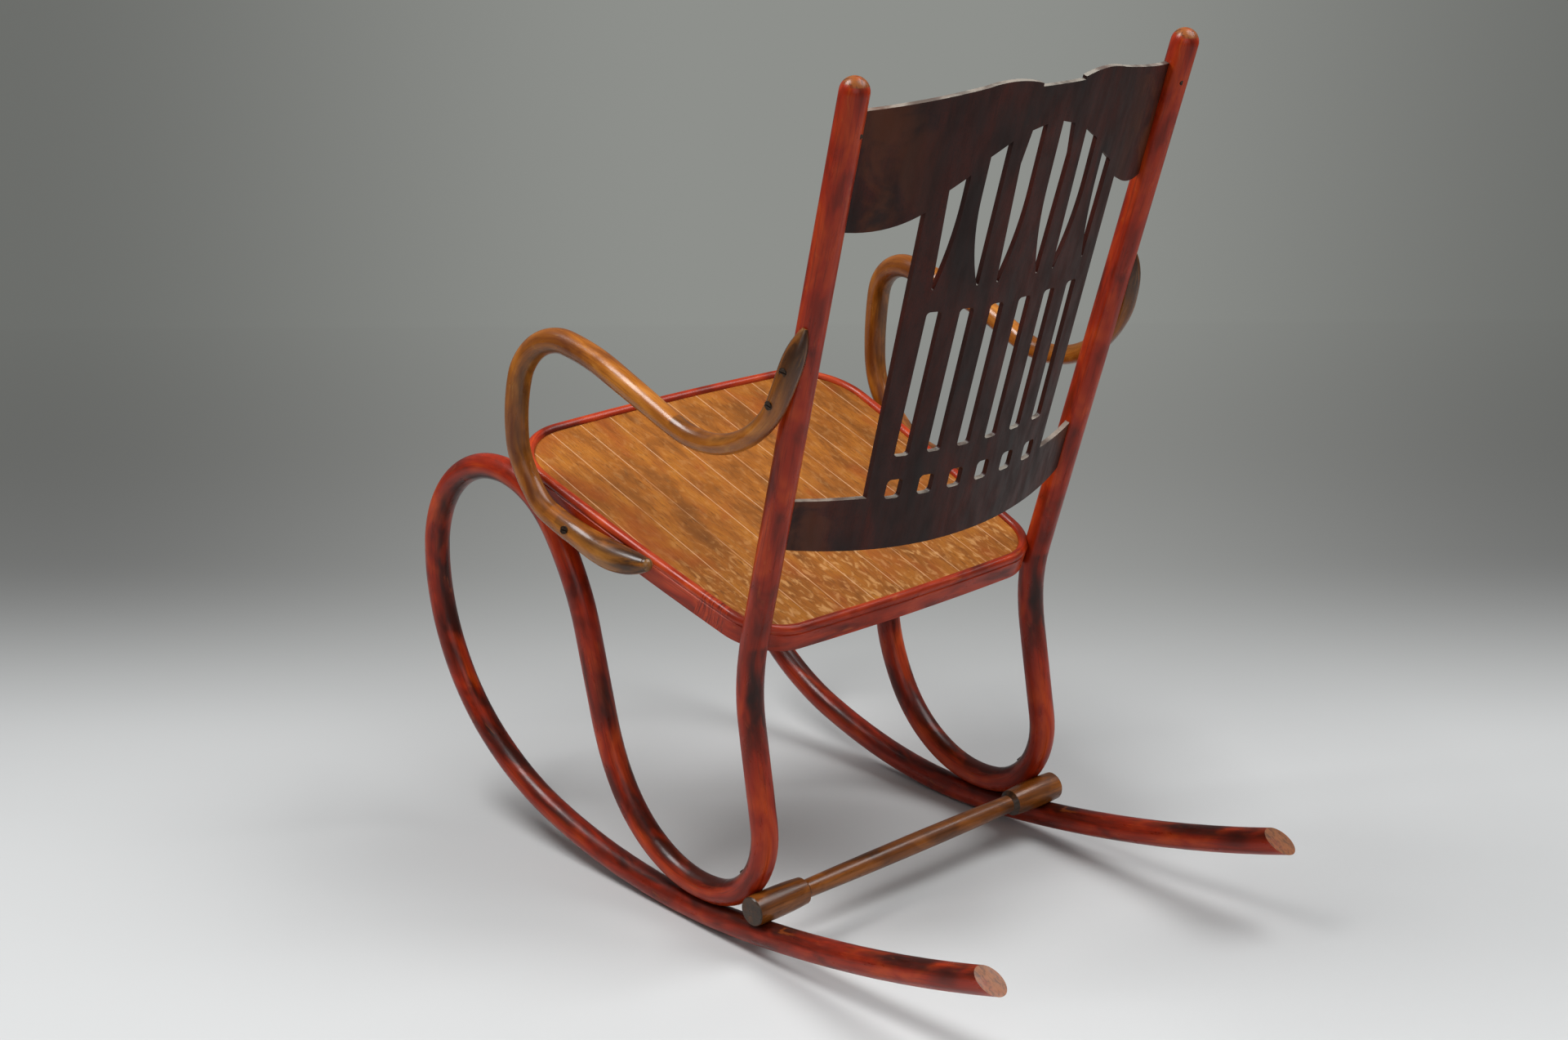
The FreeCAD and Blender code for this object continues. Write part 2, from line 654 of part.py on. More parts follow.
def back_outline():
    """Makes the outline of the back panel: lower rail, slat field, wings and notched crest."""
    end_low = V(groove_x(BACK_BOTTOM_END), BACK_BOTTOM_END, 0)
    rail = V(groove_x(BACK_RAIL_TOP), BACK_RAIL_TOP, 0)
    foot = V(BACK_SIDE_BOTTOM, BACK_RAIL_TOP, 0)
    wing_x = groove_x(BACK_WING_HEIGHT) - BACK_WING_FLAT
    reach = wing_x - BACK_SIDE_TOP
    wing_rise = BACK_WING_RADIUS - math.sqrt(BACK_WING_RADIUS ** 2 - reach ** 2)
    head = V(BACK_SIDE_TOP, BACK_WING_HEIGHT + wing_rise, 0)
    wing_centre = V(wing_x, BACK_WING_HEIGHT + BACK_WING_RADIUS, 0)
    wing_low = V(wing_x, BACK_WING_HEIGHT, 0)
    wing_end = V(groove_x(BACK_WING_HEIGHT), BACK_WING_HEIGHT, 0)
    shoulder = V(groove_x(BACK_SHOULDER_HEIGHT), BACK_SHOULDER_HEIGHT, 0)
    fall = V(BACK_HUMP_END_X, BACK_HUMP_END_HEIGHT, 0)
    hump = V(BACK_HUMP_X, BACK_CREST_HEIGHT, 0)
    step = V(BACK_NOTCH_HALF, BACK_STEP_HEIGHT, 0)
    notch = V(BACK_NOTCH_HALF, BACK_NOTCH_HEIGHT, 0)
    half = [
        line(end_low, rail), line(rail, foot), line(foot, head),
        arc_about(wing_centre, BACK_WING_RADIUS, head, wing_low),
        line(wing_low, wing_end), line(wing_end, shoulder), line(shoulder, fall),
        Part.Arc(fall, hump, step).toShape(), line(step, notch),
    ]
    other = [other_side(edge) for edge in reversed(half)]
    mirror_low = V(-end_low.x, end_low.y, 0)
    across = line(notch, V(-notch.x, notch.y, 0))
    bottom = Part.Arc(mirror_low, V(0, BACK_BOTTOM_MIDDLE, 0), end_low).toShape()
    return Part.Wire(Part.__sortEdges__(half + [across] + other + [bottom]))


def make_back_panel():
    """Bowed plywood panel with windows, slots and flame-shaped openings sawn through it."""
    flat = Part.Face(back_outline()).extrude(V(0, 0, 1))
    openings = []
    for number in range(SLOT_COUNT):
        x = MIDDLE_SLAT_HALF + SLOT_WIDTH / 2.0 + number * SLOT_PITCH
        openings.append(rounded_box(x, SLOT_BOTTOM, SLOT_TOP, SLOT_WIDTH, SLOT_CORNER))
        openings.append(rounded_box(x, WINDOW_BOTTOM, WINDOW_TOP, WINDOW_WIDTH, WINDOW_CORNER))
    for bottom_x, top, flare_x, flare_depth in FLAMES:
        openings.append(flame(bottom_x, top, flare_x, flare_depth))
    openings = [each for one in openings for each in (one, other_side(one))]
    flat = flat.cut(openings)
    deep = 4.0 * BACK_BOW_CREST
    level = [f for f in flat.Faces if abs(f.normalAt(0, 0).z) > SAME_WAY]
    drawn = min(level, key=lambda face: face.CenterOfMass.z)
    prism = drawn.extrude(V(0, 0, deep))
    prism.translate(V(0, 0, -deep / 2.0))

    centre_z = BACK_BOW_RADIUS - BACK_BOW_CREST
    half_angle = math.asin((POST_TOP_SPREAD + ROD_RADIUS) / (BACK_BOW_RADIUS - BACK_THICKNESS))

    def on_bow(radius, angle):
        return V(radius * math.sin(angle), 0, centre_z - radius * math.cos(angle))

    outer, inner = BACK_BOW_RADIUS, BACK_BOW_RADIUS - BACK_THICKNESS
    rear_face = Part.Arc(on_bow(outer, -half_angle), on_bow(outer, 0), on_bow(outer, half_angle)).toShape()
    front_face = Part.Arc(on_bow(inner, half_angle), on_bow(inner, 0), on_bow(inner, -half_angle)).toShape()
    ends = [line(on_bow(outer, half_angle), on_bow(inner, half_angle)),
            line(on_bow(inner, -half_angle), on_bow(outer, -half_angle))]
    bow = Part.Face(Part.Wire([rear_face, ends[0], front_face, ends[1]]))
    bowed = bow.extrude(V(0, 2.0 * BACK_CREST_HEIGHT, 0))
    panel = bowed.common(prism)
    return placed_shape(panel, back_origin, V(1, 0, 0), back_up)


def rim_side(y):
    """Gives how far out the rim's outer wall stands at a distance front to back."""
    along = (y - seat_y) / math.cos(seat_tilt)
    return bow_side.x + math.sqrt(SEAT_BOW_RADIUS ** 2 - (along - bow_side.y) ** 2)


def arm_steps(drop_run):
    """Lists the arm's runs and bends from the post down to its end beside the seat."""
    return [
        ("run", ARM_TAPER_RUN),
        ("run", ARM_GRIP_RUN),
        ("bend", ARM_ELBOW_RADIUS, -ARM_ELBOW_TURN),
        ("run", ARM_RISE_RUN),
        ("bend", ARM_CREST_RADIUS, ARM_CREST_TURN),
        ("bend", ARM_NOSE_RADIUS, ARM_NOSE_TURN),
        ("bend", ARM_BROW_RADIUS, ARM_BROW_TURN),
        ("bend", ARM_DROP_RADIUS, ARM_DROP_TURN),
        ("run", drop_run),
        ("bend", ARM_END_RADIUS, ARM_END_TURN * ARM_END_LAND_SHARE),
        ("bend", ARM_END_RADIUS, ARM_END_TURN * (1.0 - ARM_END_LAND_SHARE - ARM_END_TAPER_SHARE)),
        ("bend", ARM_END_RADIUS, ARM_END_TURN * ARM_END_TAPER_SHARE),
    ]


arm_top = post_at_height(ARM_TOP_HEIGHT)


def arm_walk(drop_run):
    """Walks the arm in side view."""
    return walk(arm_top.y + ARM_TOP_BEHIND, ARM_TOP_HEIGHT, ARM_TOP_HEADING, arm_steps(drop_run))


def arm_above_rim(drop_run):
    """Gives how far the arm's end stands above its place beside the rim."""
    end = arm_walk(drop_run)[-1]
    return end[1] - (seat_crest_height(end[0]) - ARM_END_DROP)


# The arm's front is as tall as it takes for its end to reach the rim
GRIP, ELBOW, RISE, CREST, NOSE, BROW, DROP, LANDING, SEATED, ARM_END = 1, 2, 3, 4, 5, 6, 7, 9, 10, 11
drop_run = solve(arm_above_rim, 0.5, 300.0)
arm_side = arm_walk(drop_run)
arm_ends = {station[4]: station for station in arm_side}
grip = arm_ends[GRIP]
grip_post = post_at_height(grip[1])
arm_spreads = {
    -1: arm_top.x + ROD_RADIUS - ARM_TIP_SUNK,
    GRIP: grip_post.x + ROD_RADIUS + ARM_POST_RADIUS - ARM_FLAT,
    ELBOW: ARM_ELBOW_SPREAD,
    RISE: ARM_RISE_SPREAD,
    CREST: ARM_CREST_SPREAD,
    NOSE: ARM_NOSE_SPREAD,
    BROW: ARM_BROW_SPREAD,
    DROP: ARM_LAND_SPREAD,
    LANDING: rim_side(arm_ends[LANDING][0]) + ARM_SEAT_RADIUS - ARM_FLAT,
    ARM_END: rim_side(arm_ends[ARM_END][0]) + ARM_SEAT_RADIUS - ARM_FLAT,
}
arm_path = spread_stations(arm_side, arm_steps(drop_run), arm_spreads)
ARM_RADII = {
    -1: ARM_TIP_RADIUS,
    0: ARM_POST_RADIUS,
    GRIP: ARM_POST_RADIUS,
    RISE: ARM_MIDDLE_RADIUS,
    BROW: ARM_MIDDLE_RADIUS,
    LANDING: ARM_SEAT_RADIUS,
    SEATED: ARM_SEAT_RADIUS,
    ARM_END: ARM_END_TIP_RADIUS,
}


def make_arm(side_rod, rim):
    """Bent arm, thin at the post and thick at the seat, cut flat where it lies on both."""
    wire = path_wire(arm_path)
    sections = []
    for number in sorted(ARM_RADII):
        place = [i for i, s in enumerate(arm_side) if s[4] == number][-1]
        sections.append(circle_wire(ARM_RADII[number], arm_path[place][0], arm_path[place][1]))
    bent = wire.makePipeShell(sections, True, False)
    end = Part.makeSphere(ARM_END_TIP_RADIUS, arm_path[-1][0])
    return bent.fuse(end).cut([side_rod, rim])


# The stretcher lies against the U bends and on the tails
bed = ROD_RADIUS + COLLAR_RADIUS - BEDDING
heel = V(*bend_centre(forward, BEND_REAR, forward_steps), 0)
tail_middle = V(*bend_centre(rearward, 1, rear_steps), 0)
stretcher_at = meeting_point(heel, BEND_REAR_RADIUS + bed, tail_middle, TAIL_RADIUS - bed, -1)
stretcher_y, stretcher_z = stretcher_at.x, stretcher_at.y


def make_stretcher(rods):
    """Turned rod, a little thicker in the middle, with necks and thick collars at its ends."""
    half = STRETCHER_LENGTH / 2.0
    collar_in = half - COLLAR_LENGTH
    neck = collar_in - COLLAR_TAPER

    def at(x, radius):
        return V(x, 0, radius)

    middle_radius = STRETCHER_RADIUS + STRETCHER_SWELL
    collar_edge = COLLAR_RADIUS - COLLAR_EDGE
    swell_x = collar_in + COLLAR_LENGTH / 3.0
    chamfer_x, chamfer = half - COLLAR_EDGE, COLLAR_RADIUS - COLLAR_EDGE / 4.0
    middle = Part.Arc(at(-neck, NECK_RADIUS), at(0, middle_radius), at(neck, NECK_RADIUS)).toShape()
    right = [
        line(at(neck, NECK_RADIUS), at(collar_in, collar_edge)),
        Part.Arc(at(collar_in, collar_edge), at(swell_x, COLLAR_RADIUS), at(chamfer_x, chamfer)).toShape(),
        line(at(chamfer_x, chamfer), at(half, collar_edge)),
        line(at(half, collar_edge), at(half, 0)),
    ]
    left = [other_side(edge) for edge in right]
    axis = line(at(half, 0), at(-half, 0))
    wire = Part.Wire(Part.__sortEdges__([middle, axis] + right + left))
    turned_rod = Part.Face(wire).revolve(V(0, 0, 0), V(1, 0, 0), 360.0)
    turned_rod.translate(V(0, stretcher_y, stretcher_z))
    return turned_rod.cut(rods)


class Screw:
    """A slotted screw: where its head's underside lies, which way it is driven, and how long it is."""

    def __init__(self, seat, way, length, head_radius=SCREW_HEAD_RADIUS, slotted=True):
        self.seat = seat
        self.way = way.normalize()
        self.length = length
        self.head_radius = head_radius
        self.slotted = slotted

    def body(self):
        """Makes the head and shank together, which is also the hole that they need."""
        head = Part.makeCylinder(self.head_radius, SCREW_HEAD_HEIGHT, self.seat, self.way * -1.0)
        shank = Part.makeCylinder(SCREW_SHANK_RADIUS, self.length, self.seat, self.way)
        return head.fuse(shank)

    def shape(self):
        """Makes the screw with the slot in its head."""
        body = self.body()
        if not self.slotted:
            return body
        across = self.way.cross(SCREW_SLOT_WAY).normalize()
        wide = 3.0 * self.head_radius
        slot = Part.makeBox(wide, SCREW_SLOT_WIDTH, SCREW_SLOT_DEPTH * 2.0)
        top = self.seat - self.way * (SCREW_HEAD_HEIGHT - SCREW_SLOT_DEPTH)
        side = self.way.cross(across)
        z_way = across.cross(side)
        if z_way.dot(self.way) > 0.0:
            side = side * -1.0
        corner = top - across * (wide / 2.0) - side * (SCREW_SLOT_WIDTH / 2.0)
        return body.cut(placed_shape(slot, corner, across, side))


def screw_on(centre, way, radius, length):
    """Places a screw whose head stands a little proud of a rod's surface."""
    seat = centre - way * (radius + SCREW_PROUD - SCREW_HEAD_HEIGHT)
    return Screw(seat, way, length)


def along_arm(distance):
    """Finds a point of the arm's centreline and the arm's direction there."""
    for (low, low_way, low_gone), (high, high_way, high_gone) in zip(arm_path, arm_path[1:]):
        if low_gone <= distance <= high_gone:
            share = (distance - low_gone) / (high_gone - low_gone)
            way = (low_way * (1.0 - share) + high_way * share).normalize()
            flat = low + (high - low) * share
            bulge = (high - low).Length / 2.0 * share * (1.0 - share)
            return flat + (low_way - high_way) * bulge, way
    return arm_path[-1][0], arm_path[-1][1]


arm_end_from = arm_ends[DROP][3]
arm_post_screws = []
for distance in ARM_POST_SCREW_AT:
    point, _ = along_arm(distance)
    nearest = post_low + post_way * (point - post_low).dot(post_way)
    inward = (nearest - point).normalize()
    arm_post_screws.append(screw_on(point, inward, ARM_POST_RADIUS, ARM_SCREW_LENGTH))
arm_seat_screws = []
for distance, slant in ARM_SEAT_SCREWS:
    point, way = along_arm(arm_end_from + distance)
    inward = V(-math.cos(math.radians(slant)), 0, -math.sin(math.radians(slant)))
    inward = (inward - way * inward.dot(way)).normalize()
    arm_seat_screws.append(screw_on(point, inward, ARM_SEAT_RADIUS, ARM_SEAT_SCREW_LENGTH))

# The stretcher's screws go from inside the U bends through the rod into the collars
heel_way = V(0, stretcher_y - heel.x, stretcher_z - heel.y).normalize()
heel_rod = V(BEND_SPREAD, heel.x, heel.y) + heel_way * BEND_REAR_RADIUS
stretcher_screw = screw_on(heel_rod, heel_way, ROD_RADIUS, STRETCHER_SCREW_LENGTH)

# Hidden screws hold the rim to the post and the loop, and the runner to the U bend
seat_across = V(HIP_SPREAD - corner_rear.x, -corner_rear.y, 0).normalize()
rim_low = corner_rear + V(0, 0, RIM_SCREW_HEIGHT)
rim_seat = rim_low + seat_across * (SEAT_CORNER_REAR_RADIUS - RIM_WIDTH + SCREW_HEAD_HEIGHT - SCREW_PROUD)
post_rim_screw = Screw(seat_point(rim_seat), seat_point(rim_seat + seat_across) - seat_point(rim_seat),
                       RIM_SCREW_LENGTH)

highest = max((s for s in fine if LOOP_LOW <= s[4] <= LEG_RUN),
              key=lambda s: math.sin(seat_tilt) * s[0] + math.cos(seat_tilt) * s[1])
seat_up = V(0, math.sin(seat_tilt), math.cos(seat_tilt))
loop_top = V(LOOP_SPREAD, highest[0], highest[1])
loop_rim_screw = screw_on(loop_top, seat_up, ROD_RADIUS, LOOP_SCREW_LENGTH)

lowest = min((s for s in fine if BEND_FRONT <= s[4] <= BEND_REAR),
             key=lambda s: RUNNER_RADIUS - math.hypot(s[0], ROD_RADIUS + RUNNER_RADIUS - s[1]))
runner_centre = V(BEND_SPREAD, 0, ROD_RADIUS + RUNNER_RADIUS)
runner_way = (runner_centre - V(BEND_SPREAD, lowest[0], lowest[1])).normalize()
runner_point = runner_centre - runner_way * RUNNER_RADIUS
runner_seat = runner_point - runner_way * (ROD_RADIUS - SCREW_HEAD_HEIGHT - SCREW_SUNK)
rocker_screw = Screw(runner_seat, runner_way, ROCKER_SCREW_LENGTH)

# The crest is pinned through each post from behind
back_rearward = V(0, math.cos(math.radians(POST_LEAN)), -math.sin(math.radians(POST_LEAN)))
pin_height = BACK_SHOULDER_HEIGHT - PANEL_PIN_DEPTH + BACK_RAISE
pin_centre = post_low + post_way * (pin_height / back_up.dot(post_way))
pin_seat = pin_centre - V(PIN_INSET, 0, 0) + back_rearward * (ROD_RADIUS - PIN_SUNK)


def make_pin():
    """Small round pin through the post's rear face and the panel's end."""
    return Part.makeCylinder(PIN_RADIUS, PIN_LENGTH, pin_seat, back_rearward * -1.0)


def group(shapes):
    """Joins a set of separate solids in one node, left and right."""
    return Part.makeCompound([s for shape in shapes for s in (shape, other_side(shape))])


def build():
    """Makes every piece and returns them by name."""
    side_rod = make_side_rod()
    rocker = make_rocker(side_rod)
    rim = make_seat_rim().cut([side_rod, other_side(side_rod)])
    arm = make_arm(side_rod, rim)
    back = make_back_panel()
    side_rod = side_rod.cut(back)
    pin = make_pin()
    stretcher = make_stretcher([side_rod, rocker, other_side(side_rod), other_side(rocker)])

    arm = arm.cut([s.body() for s in arm_post_screws + arm_seat_screws])
    side_rod = side_rod.cut([s.body() for s in arm_post_screws]
                            + [stretcher_screw.body(), post_rim_screw.body(), loop_rim_screw.body(),
                               rocker_screw.body(), pin])
    rocker = rocker.cut(rocker_screw.body())
    both = [stretcher_screw.body(), other_side(stretcher_screw.body())]
    stretcher = stretcher.cut(both)
    rim_holes = [s.body() for s in arm_seat_screws + [post_rim_screw, loop_rim_screw]]
    rim = rim.cut(rim_holes + [other_side(hole) for hole in rim_holes])
    back = back.cut([pin, other_side(pin)])

    parts = {
        "seat_rim": rim,
        "seat_panel": make_seat_panel(),
        "back_panel": back,
        "rear_stretcher": stretcher,
        "arm_post_screws": group([s.shape() for s in arm_post_screws]),
        "arm_seat_screws": group([s.shape() for s in arm_seat_screws]),
        "stretcher_screws": group([stretcher_screw.shape()]),
        "post_rim_screws": group([post_rim_screw.shape()]),
        "loop_rim_screws": group([loop_rim_screw.shape()]),
        "rocker_screws": group([rocker_screw.shape()]),
        "back_panel_pins": group([pin]),
    }
    for name, shape in (("side_rod", side_rod), ("rocker", rocker), ("arm", arm)):
        parts["left_" + name] = shape
        parts["right_" + name] = other_side(shape)
    return parts


def settle(parts):
    """Rocks the chair to where it rests, with its weight right above the floor contact."""
    weight = 0.0
    moment = V(0, 0, 0)
    for name, shape in parts.items():
        density = STEEL_DENSITY if name.endswith(("screws", "pins")) else WOOD_DENSITY
        for solid in shape.Solids:
            weight += solid.Volume * density
            moment += solid.CenterOfMass * (solid.Volume * density)
    middle = moment * (1.0 / weight)
    centre = V(0, 0, ROD_RADIUS + RUNNER_RADIUS)
    lean = math.degrees(math.atan2(middle.y, centre.z - middle.z))
    for shape in parts.values():
        shape.rotate(centre, V(1, 0, 0), -lean)
    print("weight %.2f kg  rests leaning %.2f degrees further back" % (weight * 1e-9, lean))


def main():
    """Stands the chair on the origin and writes one file for each piece."""
    os.makedirs("parts", exist_ok=True)
    parts = build()
    settle(parts)
    boxes = [shape.optimalBoundingBox(True, False) for shape in parts.values()]
    middle = (min(b.YMin for b in boxes) + max(b.YMax for b in boxes)) / 2.0
    floor = min(b.ZMin for b in boxes)
    for name, shape in sorted(parts.items()):
        shape.translate(V(0, -middle, -floor))
        shape.exportStep("parts/%s.step" % name)
        facts = (name, len(shape.Solids), shape.Volume, shape.isValid())
        print("%-18s solids %d  volume %.0f  valid %s" % facts)
    print("shift %.3f %.3f  front leg %.2f  arm front %.2f  seat tilt %.2f"
          % (-middle, -floor, leg_run, drop_run, math.degrees(seat_tilt)))


if __name__ == "__main__":
    main()
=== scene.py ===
import logging
import math
from dataclasses import dataclass, field
from enum import Enum
from typing import ClassVar

import bpy
import numpy as np
from mathutils import Matrix, Vector

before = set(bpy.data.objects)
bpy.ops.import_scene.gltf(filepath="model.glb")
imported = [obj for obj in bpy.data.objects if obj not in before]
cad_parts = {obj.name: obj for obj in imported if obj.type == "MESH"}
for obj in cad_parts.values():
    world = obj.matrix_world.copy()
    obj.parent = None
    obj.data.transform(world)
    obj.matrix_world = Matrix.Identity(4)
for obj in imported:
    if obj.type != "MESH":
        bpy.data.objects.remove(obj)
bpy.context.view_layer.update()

MM = 0.001
ACROSS = Vector((1.0, 0.0, 0.0))
UPRIGHT = Vector((0.0, 0.0, 1.0))
LOG = logging.getLogger("rocking_chair")

Tree = bpy.types.NodeTree
Socket = bpy.types.NodeSocket


class Side(Enum):
    """A side of the chair, as the sign of X there."""

    LEFT = 1
    RIGHT = -1


class Mark(Enum):
    """What is written on a piece's points for its finish: the attribute's name."""

    GRAIN = "grain_space"
    WAY = "grain_way"
    BEND = "bend_side"


def linear(colour: str) -> tuple[float, float, float, float]:
    """Turns an sRGB hex colour to linear RGBA.

    Args:
        colour: Six hex digits after a hash sign.

    Returns:
        Linear red, green, blue and an alpha of one.
    """
    parts = [int(colour[i:i + 2], 16) / 255.0 for i in (1, 3, 5)]
    red, green, blue = [p / 12.92 if p <= 0.04045 else ((p + 0.055) / 1.055) ** 2.4 for p in parts]
    return (red, green, blue, 1.0)


def add_node(tree: Tree, kind: str, settings: dict | None = None,
             links: dict | None = None) -> bpy.types.Node:
    """Adds a node with its settings and links.

    Args:
        tree: Node tree that gets the node.
        kind: Node type, such as "ShaderNodeTexNoise".
        settings: Values by input name, input number or property name; "stops" fills a colour ramp.
        links: Output sockets by input name or number.

    Returns:
        The new node.
    """
    node = tree.nodes.new(kind)
    for name, value in (settings or {}).items():
        if name == "stops":
            ramp = node.color_ramp.elements
            while len(ramp) < len(value):
                ramp.new(0.5)
            for element, (place, colour) in zip(ramp, value):
                element.position = place
                element.color = linear(colour)
        elif isinstance(name, int) or name in node.inputs:
            node.inputs[name].default_value = value
        else:
            setattr(node, name, value)
    for name, socket in (links or {}).items():
        tree.links.new(socket, node.inputs[name])
    return node


def new_material(name: str) -> bpy.types.Material:
    """Makes an empty material with nodes.

    Args:
        name: The material's name.

    Returns:
        The material, with no node in it.
    """
    material = bpy.data.materials.new(name)
    material.use_nodes = True
    material.node_tree.nodes.clear()
    return material


def lay_over(tree: Tree, under: Socket, over: str | Socket, *shares: Socket | float) -> Socket:
    """Lays a colour over another, by the product of some shares.

    Args:
        tree: Node tree.
        under: The colour below.
        over: The colour on top, as a hex colour or a socket.
        shares: How much of the top colour shows, from 0 to 1; the first is a socket.

    Returns:
        The colour that results.
    """
    share = shares[0]
    for more in shares[1:]:
        settings, links = {"operation": "MULTIPLY"}, {0: share}
        if isinstance(more, Socket):
            links[1] = more
        else:
            settings[1] = more
        share = add_node(tree, "ShaderNodeMath", settings, links).outputs[0]
    settings, links = {"data_type": "RGBA"}, {0: share, 6: under}
    if isinstance(over, str):
        settings[7] = linear(over)
    else:
        links[7] = over
    return add_node(tree, "ShaderNodeMix", settings, links).outputs[2]


@dataclass(frozen=True)
class SoftStep:
    """A soft step in a value: `start` up to `low`, and `end` from `high` on."""

    low: float
    high: float
    start: float = 0.0
    end: float = 1.0

    @property
    def settings(self) -> dict:
        """The step as a node's settings."""
        return {"interpolation_type": "SMOOTHSTEP", "From Min": self.low, "From Max": self.high,
                "To Min": self.start, "To Max": self.end}


@dataclass(frozen=True)
class Figure:
    """A pattern of the wood or its wear, with real sizes.

    Attributes:
        size: Grain size across the face, through it and along the grain, in mm.
        detail: Octaves of finer pattern.
        warp: How far the pattern is bent out of line.
        step: Where the pattern starts to show and where it is full.
        fineness: How strong the finer octaves are beside the coarse one.
    """

    size: tuple[float, float, float]
    detail: float = 3.0
    warp: float = 0.0
    step: SoftStep = SoftStep(0.0, 1.0)
    fineness: float = 0.55

    def noise(self, tree: Tree, space: Socket) -> Socket:
        """Adds the bare pattern.

        Args:
            tree: Node tree.
            space: Coordinates in metres.

        Returns:
            The pattern before its step, from 0 to 1.
        """
        scaled = add_node(tree, "ShaderNodeVectorMath",
                          {"operation": "MULTIPLY", 1: tuple(1.0 / (s * MM) for s in self.size)}, {0: space})
        noise = add_node(tree, "ShaderNodeTexNoise",
                         {"Scale": 1.0, "Detail": self.detail, "Roughness": self.fineness,
                          "Distortion": self.warp}, {"Vector": scaled.outputs[0]})
        return noise.outputs[0]

    def mask(self, tree: Tree, space: Socket) -> Socket:
        """Adds the pattern with its step.

        Args:
            tree: Node tree.
            space: Coordinates in metres.

        Returns:
            The pattern after its step.
        """
        noise = self.noise(tree, space)
        return add_node(tree, "ShaderNodeMapRange", self.step.settings, {"Value": noise}).outputs[0]


